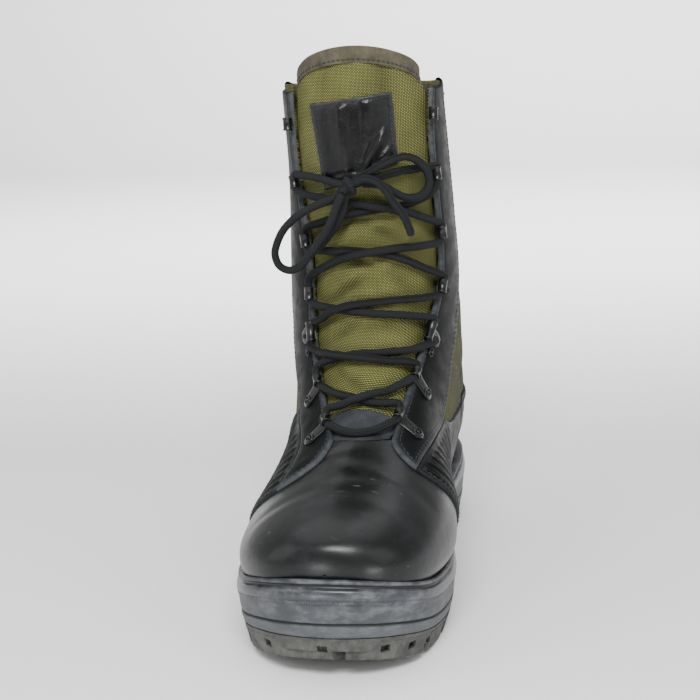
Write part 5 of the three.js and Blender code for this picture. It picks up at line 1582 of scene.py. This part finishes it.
# Lace loops: how high each is set on both sides, its roller's length, and its strap with slant in degrees
loopRows = [
    {'lateral': 104, 'medial': 106.7, 'roller': 6.5, 'strap': 17.5, 'width': 8.4, 'slant': -19,
     'kind': 'strap'},
    {'lateral': 119.5, 'medial': 123.8, 'roller': 6.5, 'strap': 17.5, 'width': 8.4, 'slant': -19,
     'kind': 'strap'},
    {'lateral': 145, 'medial': 144.2, 'roller': 11.5, 'strap': 13, 'width': 10, 'slant': -4, 'kind': 'clamp'},
    {'lateral': 167.3, 'medial': 168.4, 'roller': 7.5, 'strap': 7.5, 'width': 5.5, 'slant': -4,
     'kind': 'ring'},
    {'lateral': 198.8, 'medial': 200.7, 'roller': 7.5, 'strap': 7.5, 'width': 5.5, 'slant': -4,
     'kind': 'ring'},
    {'lateral': 232.3, 'medial': 234.6, 'roller': 7.5, 'strap': 7.5, 'width': 5.5, 'slant': -4,
     'kind': 'ring'},
    {'lateral': 265.5, 'medial': 268.6, 'roller': 7.5, 'strap': 7.5, 'width': 5.5, 'slant': -4,
     'kind': 'ring'},
]
rollerLook = {'lift': 3.3, 'outer': 2.7, 'inner': 2.2, 'ahead': 1.5}
strapLook = {'thickness': 0.9, 'rest': 1.95, 'edgeRise': 0.7, 'ring': 0.55, 'rivet': 1.4}


def loopFrame(level, side):
    up = loopRows[level]['medial' if side > 0 else 'lateral']
    lift = gap + overlay + gap

    def at(height, back):
        middle, half = throatAt(height)
        found = onForm([[middle + side * (half + back), height]], 'front')[0]
        return offFormAt(found, lift)

    origin = at(up, -rollerLook['ahead'])
    upward = unit(at(up + 4, -rollerLook['ahead']) - at(up - 4, -rollerLook['ahead']))
    backward = at(up, 4) - origin
    backward = unit(backward - upward * np.dot(backward, upward))
    outward = unit(np.cross(backward, upward)) * side
    return origin, upward, backward, outward


def walked(start, directions, distances, steps=10):
    # Places on the form reached from start by going real distances in directions of space
    place = np.repeat(np.atleast_2d(start), len(distances),
                      0).astype(float) if np.ndim(start) == 1 else start.copy()
    move = np.broadcast_to(directions, (len(distances), 3)) * (np.asarray(distances) / steps)[:, None]
    h = 1e-3
    for _ in range(steps):
        here = formAt(place)
        ds = (formPoint(place[:, 0] + h, place[:, 1]) - here) / h
        da = (formPoint(place[:, 0], place[:, 1] + h) - here) / h
        a, b, c = (ds * ds).sum(1), (ds * da).sum(1), (da * da).sum(1)
        u, v = (ds * move).sum(1), (da * move).sum(1)
        det = np.maximum(a * c - b * b, 1e-6)
        place[:, 0] += (u * c - v * b) / det
        place[:, 1] += (v * a - u * b) / det
    return place


def ringShape(frameAxes, centre, size, radius):
    # An oval ring of round wire lying in the plane of two axes
    first, second = frameAxes
    t = np.linspace(0, 2 * np.pi, 28, endpoint=False)[:, None]
    line = centre + first * np.cos(t) * size[0] + second * np.sin(t) * size[1]
    return tube(line, radius, 10, closed=True)


def strapPlate(start, first, second, length, width):
    # A flat strap with a round end that follows the leather it lies on
    forward = np.concatenate([[-1.0, -0.4], np.linspace(0, length, 16)])
    across = np.array([-1, -0.97, -0.85, -0.5, 0, 0.5, 0.85, 0.97, 1])
    reach = width / 2 * np.sqrt(np.clip(1 - (np.clip(forward - length + width / 2, 0, None)
            / (width / 2))**2, 0.004, 1))
    b, w = forward[:, None] + across[None] * 0, across[None] * reach[:, None]
    place = walked(walked(start, first, b.ravel()), second, w.ravel())
    edge = np.clip((1 - np.abs(across)) / 0.15, 0, 1)[None] * np.clip((length - b) / 0.8, 0, 1)
    bed = strapLook['rest'] + strapLook['edgeRise'] * np.exp(-((b - 1.4) / 2.2)**2)
    top = bed + strapLook['thickness'] * rolled(edge, 0.05)
    upper = offFormAt(place, top.ravel()).reshape(*b.shape, 3)
    lower = offFormAt(place, (bed - 0.35).ravel()).reshape(*b.shape, 3)
    rows, columns = b.shape
    shell = np.concatenate([upper, lower[:, ::-1]], 1)
    faces = gridFaces(rows, 2 * columns, True)
    count = 2 * columns
    for row in (0, rows - 1):
        faces += [(row * count + c, row * count + c + 1, row * count + count - 2 - c,
                   row * count + count - 1 - c)
                  for c in range(columns - 1)]
    return shell.reshape(-1, 3), faces


def onStrap(start, first, second, forward, across, height):
    # A point over a strap and the directions there
    place = walked(walked(start, first, [forward]), second, [across])
    return offFormAt(place[0], height), formNormal(place[0, 0], place[0, 1])


def laceLoop(level, side):
    row = loopRows[level]
    origin, upward, backward, outward = loopFrame(level, side)
    batch = Batch()
    half, outer, inner = row['roller'] / 2, rollerLook['outer'], rollerLook['inner']
    # the roller, a rolled sleeve with lips
    profile = [(inner, -half + 0.2), (inner + 0.2, -half), (outer - 0.15, -half),
               (outer + 0.15, -half + 0.3), (outer + 0.15, -half + 0.9), (outer - 0.1, -half + 1.2),
               (outer - 0.1, half - 1.2), (outer + 0.15, half - 0.9), (outer + 0.15, half - 0.3),
               (outer - 0.15, half), (inner + 0.2, half), (inner, half - 0.2)]
    turn = np.linspace(0, 2 * np.pi, 24, endpoint=False)
    centre = origin + outward * rollerLook['lift']
    rings = [centre + upward * h + r * (np.cos(turn)[:, None] * backward + np.sin(turn)[:, None] * outward)
             for r, h in profile]
    faces = gridFaces(len(profile), 24, True)
    last = (len(profile) - 1) * 24
    faces += [(last + i, last + (i + 1) % 24, (i + 1) % 24, i) for i in range(24)]
    points = np.vstack(rings)
    batch.add(points, facedOut(points - centre, faces))
    slant = math.radians(row['slant'])
    first = backward * math.cos(slant) + upward * math.sin(slant)
    second = -backward * math.sin(slant) + upward * math.cos(slant)
    middle, opening = throatAt(row['medial' if side > 0 else 'lateral'])
    start = onForm([[middle + side * (opening - 0.5), row['medial' if side > 0 else 'lateral']]], 'front')[0]
    batch.add(*strapPlate(start, first, second, row['strap'], row['width']))
    top = strapLook['rest'] + strapLook['thickness']
    marks = {'strap': [(row['strap'] - 4.4, 0, (2.2, 3.5))], 'ring': [(row['strap'] - 2.8, 0, (1.7, 3.1))],
             'clamp': [(row['strap'] - 3.2, 0, None), (row['strap'] - 8.4, 0, None),
                       (row['strap'] - 5, -9.6, (1.8, 2.8))]}[row['kind']]
    for forward, across, oval in marks:
        eye, normal = onStrap(start, first, second, forward, across, top - (0.9 if across else 0))
        along = unit(first - normal * np.dot(first, normal))
        side2 = np.cross(normal, along)
        if oval:
            batch.add(*ringShape((along, side2), eye + normal * 0.1, oval, strapLook['ring'])[:2])
        rivet = strapLook['rivet'] * (1 if oval is None else 0.8)
        batch.add(*tube([eye - normal * 0.6, eye + normal * 0.15], rivet, 14)[:2])
    name = 'Medial' if side > 0 else 'Lateral'
    piece = batch.make(f'laceLoop{name}{level + 1}', steel, 'black_steel')
    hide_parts(f'eyelet_{name.lower()}_{level + 1}')
    return piece


# Laces: the crossings' lines as (x, up) seen from ahead, between the loops; the last number is the row's
# place above, 'over' names the strand that lies on top
laceLook = {'radius': 2.3, 'squeezed': 2.12, 'sides': 14, 'rest': -2.5, 'slope': 10.0}
barLine = [(-18.5, 103.2), (-9.2, 102.9), (4.2, 103.5), (13.1, 103.7), (21, 105.3)]
crossingRows = [
    {'lateral': [(-17.2, 108.3), (-9.8, 111.8), (4, 116.4), (14.2, 119), (21.3, 121), (26.4, 122)],
     'medial': [(20.2, 111.2), (10.9, 113.9), (4.2, 115.6), (-4.8, 117), (-17.9, 116.9), (-27, 118.5)],
     'over': 'lateral'},
    {'lateral': [(-28, 125), (-23.7, 130.2), (-13.9, 134.8), (-4.7, 137.3), (12.1, 137.7), (24, 136.4),
                 (33.5, 138)],
     'medial': [(25.6, 127.5), (17.7, 131.9), (1.5, 134.1), (-13.9, 134.3), (-27.7, 134.5), (-34, 137)],
     'over': 'medial'},
    {'lateral': [(-33.5, 149.5), (-28.3, 152.5), (-21.7, 157.3), (-12.2, 161.5), (-0.3, 164), (16.4, 164.8),
                 (30, 163.6), (38, 164.5)],
     'medial': [(32.8, 150.6), (26.9, 153.4), (16.5, 156.5), (-0.2, 158.6), (-15.3, 159.6), (-28.4, 160.4),
                (-35, 163)], 'over': 'lateral'},
    {'lateral': [(-34.6, 174), (-33.7, 177.6), (-24.6, 184.5), (-11.9, 189.9), (0, 192.9), (11.3, 194.3),
                 (27.1, 194),
                 (36.1, 195)],
     'medial': [(37.1, 173.5), (34.3, 176.1), (29.5, 180.7), (21.9, 186.3), (11.3, 190.9), (0, 192.9),
                (-11.8, 193.4), (-27.5, 193), (-35.5, 194.4)], 'over': 'lateral'},
    {'lateral': [(-35.5, 205), (-33.5, 207.1), (-23.4, 210.8), (-11, 214.2), (0.8, 216.5), (11.9, 217.8),
                 (22.6, 219.1), (30.3, 222.5), (34, 227)],
     'medial': [(36.5, 205), (27.6, 211.5), (19.9, 215.4), (6.5, 219.2), (-7.7, 221.1), (-19.6, 223.2),
                (-29.2, 224.4), (-39, 226.6)], 'over': 'medial'},
]
toKnot = {'lateral': [(-40, 237.2), (-35.4, 236.5), (-25.3, 235.3), (-15.5, 233.2)],
          'medial': [(34, 239), (28, 238.9), (17.8, 238.4), (8.1, 236.8)]}


def tunnelEnds(level, side):
    origin, upward, _, outward = loopFrame(level, side)
    centre = origin + outward * rollerLook['lift']
    reach = loopRows[level]['roller'] / 2
    return centre - upward * reach, centre + upward * reach


def laidOver(line, heights):
    found = onForm(np.array(line), 'front')
    return offFormAt(found, heights)


def layHeights(line, under, reach):
    # Heights of a strand's middle above the form: on the tongue, and over the other strand where they cross
    line = np.array(line)
    run = runOf(line)
    slope = np.exp(-(run / laceLook['slope'])**2) + np.exp(-((run[-1] - run) / laceLook['slope'])**2)
    base = laceLook['rest'] + laceLook['radius'] + 0.15 + 4.6 * slope
    if under is None:
        return base
    apart = np.linalg.norm(line[:, None] - under[None], axis=2).min(1)
    lift = np.sqrt(np.clip(reach**2 - apart**2, 0, None))
    for _ in range(10):
        lift = np.maximum(lift, np.convolve(np.pad(lift, 1, mode='edge'), [0.25, 0.5, 0.25], 'valid'))
    return base + lift


def laceStrands():
    # Both strands of each row, then joined through the tunnels into two runs from the bar to the knot
    sides = {'medial': 1, 'lateral': -1}
    rows = []
    for level, row in enumerate(crossingRows):
        other = 'medial' if row['over'] == 'lateral' else 'lateral'
        below = smoothFlat(row[other])
        above = smoothFlat(row[row['over']])
        made = {other: laidOver(below, layHeights(below, None, 0)),
                row['over']: laidOver(above, layHeights(above, below, 2 * laceLook['radius'] + 0.1))}
        rows.append(made)
    bar = laidOver(smoothFlat(barLine), layHeights(smoothFlat(barLine), None, 0))
    strands = {}
    for name, side in sides.items():
        path = [bar if side > 0 else bar[::-1]]
        here = side
        for level in range(6):
            low, high = tunnelEnds(level, here)
            path.append(np.array([low, high]))
            label = 'medial' if here > 0 else 'lateral'
            if level < 5:
                path.append(rows[level][label])
                here = -here
            else:
                line = smoothFlat(toKnot[label])
                end = np.array([knotLook['middle']])
                path.append(np.vstack([laidOver(line, layHeights(line, None, 0) + 0.4), end]))
        strands[name] = path
    return strands


def evenly(points, step):
    run = runOf(points)
    at = np.linspace(0, run[-1], max(2, int(run[-1] / step)))
    return np.stack([np.interp(at, run, points[:, k]) for k in range(3)], -1)


knotLook = {'middle': (-8.5, yOf(150.6), 232.0), 'ball': 4.4}
bowPaths = {
    'loopLateral': [(-13, 149.5, 229), (-18.5, 150.5, 224.5), (-24.5, 151, 222.5), (-32.5, 151, 219),
                    (-40, 150, 214.5),
                    (-47.5, 148.5, 207.5), (-52, 147, 200), (-54, 146.5, 192.5), (-51.5, 147, 186),
                    (-45.5, 148.5, 183.5), (-39, 150.5, 186), (-32.5, 152.5, 193), (-27, 154, 200),
                    (-21.5, 155, 207), (-17.5, 155.5, 215), (-15, 155, 221.5), (-12.5, 154, 226.5)],
    'loopMedial': [(-3, 150.5, 236), (2.5, 150.5, 239), (9.5, 149, 243), (16.5, 145.5, 246), (23.5, 142, 247),
                   (29, 139, 244.5), (33.5, 137, 239.5), (35.5, 136, 233), (34, 137, 227.5), (29.5, 140, 224),
                   (23, 143.5, 224), (17, 147, 227.5), (12, 149.5, 231), (6, 150.5, 233), (1, 150.5, 233)],
    'endMedial': [(-3.5, 154.7, 234.5), (1, 156.2, 236.5), (5.5, 156.7, 236), (9.5, 156.7, 234),
                  (13.5, 156.2, 229.5),
                  (17, 155.7, 224), (20.5, 154.7, 219), (24, 153.7, 212.5), (26.5, 152.7, 205)],
    'endLateral': [(-11.5, 148.5, 223), (-13, 148.5, 216.5), (-17, 148.5, 209.5), (-21.5, 148, 203.5),
                   (-27.6, 146.8, 196.4)],
}
bowNodes = {'loopLateral': 'lace_bow_loop_lateral', 'loopMedial': 'lace_bow_loop_medial',
            'endMedial': 'lace_end_medial', 'endLateral': 'lace_end_lateral'}


def laces():
    batch = Batch()
    for path in laceStrands().values():
        line = evenly(smoothList(evenly(np.vstack(path), 0.8), 14), 0.9)
        held = np.vstack([np.linspace(*tunnelEnds(level, side), 5) for level in range(6) for side in (1, -1)])
        near = np.linalg.norm(line[:, None] - held[None], axis=2).min(1)
        squeeze = np.exp(-(near / 2.4)**4)
        radius = laceLook['radius'] + (laceLook['squeezed'] - laceLook['radius']) * squeeze
        batch.add(*tube(line, radius, laceLook['sides']))
    piece = batch.make('lacing', lacePolyester, 'lace_cord')
    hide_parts('lace_bar', *[f'lace_crossing_{i}' for i in range(1, 6)], 'lace_to_knot_medial',
                'lace_to_knot_lateral')
    return piece


def bow():
    for name, table in bowPaths.items():
        line = softLine([(x, yOf(a), u) for x, a, u in table], 0.9)
        line = evenly(line, 0.9)
        points, faces, uv = tube(line, laceLook['radius'], laceLook['sides'])
        piece = makePiece('bow' + name[0].upper() + name[1:], points, faces, lacePolyester, 'lace_cord', uv)
        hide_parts(bowNodes[name])
        path = (line + (sideShift, 0, 0)) * mm
        float(runOf(path)[-1])


def knot():
    # Turns of the lace round the bow's middle, drawn tight
    batch = Batch()
    centre = np.array(knotLook['middle'])
    turn = np.linspace(-0.6, 2 * np.pi - 0.2, 40)
    for lean, size, shift in ((0.5, (4.3, 5.6), (0.6, -0.8, 0.2)), (-0.75, (3.6, 5.0), (-1.4, 0.4, -0.8))):
        across = np.array([math.cos(lean), 0, math.sin(lean)])
        along = np.array([-math.sin(lean), 0, math.cos(lean)])
        ring = (centre + shift + across * (np.sin(turn) * 0.6)[:, None] + along * (np.cos(turn) * size[1]
                * 0.62)[:, None]
                + np.array([0, -1, 0]) * (np.sin(turn) * size[0] * 0.62)[:, None])
        batch.add(*tube(ring, laceLook['radius'], laceLook['sides']))
    for a, b in (((-13.5, 150.5, 229), (-3.5, 150.8, 235.2)), ((-11, 149.0, 223.8), (-5, 154.2, 234))):
        line = softLine([(a[0], yOf(a[1]), a[2]), centre + (0, -0.6, 0), (b[0], yOf(b[1]), b[2])], 0.8)
        batch.add(*tube(line, laceLook['radius'] * 0.98, laceLook['sides']))
    piece = batch.make('knot', lacePolyester, 'lace_cord')
    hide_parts('lace_knot')


def seamsOf(name, lines, look):
    # Stitches along several lines of (section, angle), each at its own height above the form
    batch = Batch()
    for edge, height in lines:
        points, outward = seamLine(edge, height)
        stitches(batch, points, outward, look['length'], look['pause'], look['radius'])
    return batch.make(name, blackThread, look['slot'])


def insideOf(front, back, depth):
    # A line at a real distance in from one edge of a panel towards the other
    count = 220
    shares = np.linspace(0, 1, count)
    a, b = resample(front, shares), resample(back, shares)
    apart = np.linalg.norm(formAt(a) - formAt(b), axis=1)
    share = np.clip(depth / np.maximum(apart, 1e-3), 0, 0.9)[:, None]
    return a * (1 - share) + b * share


stitchLook = {'length': 2.6, 'pause': 1.0, 'radius': 0.36, 'slot': 'black_leather'}


makeCamera()
makeLights()
makeFloor()
laces()
bow()
knot()
print('cords made')
list(upperShell())
facingEdgesMade = list(facings())
wingRests = {1: facingEdges(1)[1:], -1: facingEdges(-1)[1:]}
quarterMade = list(quarterPanels(wingRests))
counterMade = heelCounter()
backstayMade = backstay()
collarMade = collarBinding()
print('upper made')
tongueSheet()
tongueRoot()
tongueTapeMade = tongueTape()
patchMade = tonguePatch()
print('tongue made')
midsole()
outsole()
insole()
print('sole made')
for side in (1, -1):
    for level in range(len(loopRows)):
        laceLoop(level, side)
print('lace loops made')


def throughLine(edge, other, depth, trim=4):
    return insideOf(edge, other, depth)[trim:-trim]


def sewAll():
    facingTop = facingLook['seat'] + facingLook['thickness']
    panelTop = quarterLook['seat'] + quarterLook['thickness']
    facingSeams, panelSeams = [], []
    for _, front, back in facingEdgesMade:
        facingSeams.append((throughLine(front, back, rolledEdge['width'] + 0.9), facingTop - 0.25))
        facingSeams += [(throughLine(back, front, depth), facingTop - 0.25) for depth in (2.2, 4.4)]
    for _, upper, lower in quarterMade:
        count = np.linspace(0, 1, 200)
        panelSeams += [(throughLine(resample(lower, count), resample(upper, count), depth), panelTop)
                       for depth in (2.4, 4.6)]
    counterTop, counterLow = counterMade[1:]
    panelSeams += [(throughLine(counterTop, counterLow, depth, 8), panelTop) for depth in (2.2, 4.4)]
    stayEdges = backstayMade[1]
    panelSeams += [(throughLine(stayEdges[i], stayEdges[1 - i], 2.2), panelTop) for i in (0, 1)]
    seamsOf('facingStitches', facingSeams, stitchLook)
    seamsOf('panelStitches', panelSeams, stitchLook)
    seamsOf('patchStitches', [(patchMade[1], tongueLook['offset'] + 0.3 + patchLook['thickness'] - 0.25)],
            dict(stitchLook, length=1.9, pause=0.9, radius=0.3))
    seamsOf('tapeStitches', [(tongueTapeMade[1], tongueLook['offset'] + 1.1)],
            dict(stitchLook, length=1.6, pause=1.3, radius=0.5, slot='tape'))
    seamsOf('collarStitches', [(collarMade[1], 0.9)], dict(stitchLook, length=2.0, pause=1.3, slot='tape'))


sewAll()
print('stitches made')
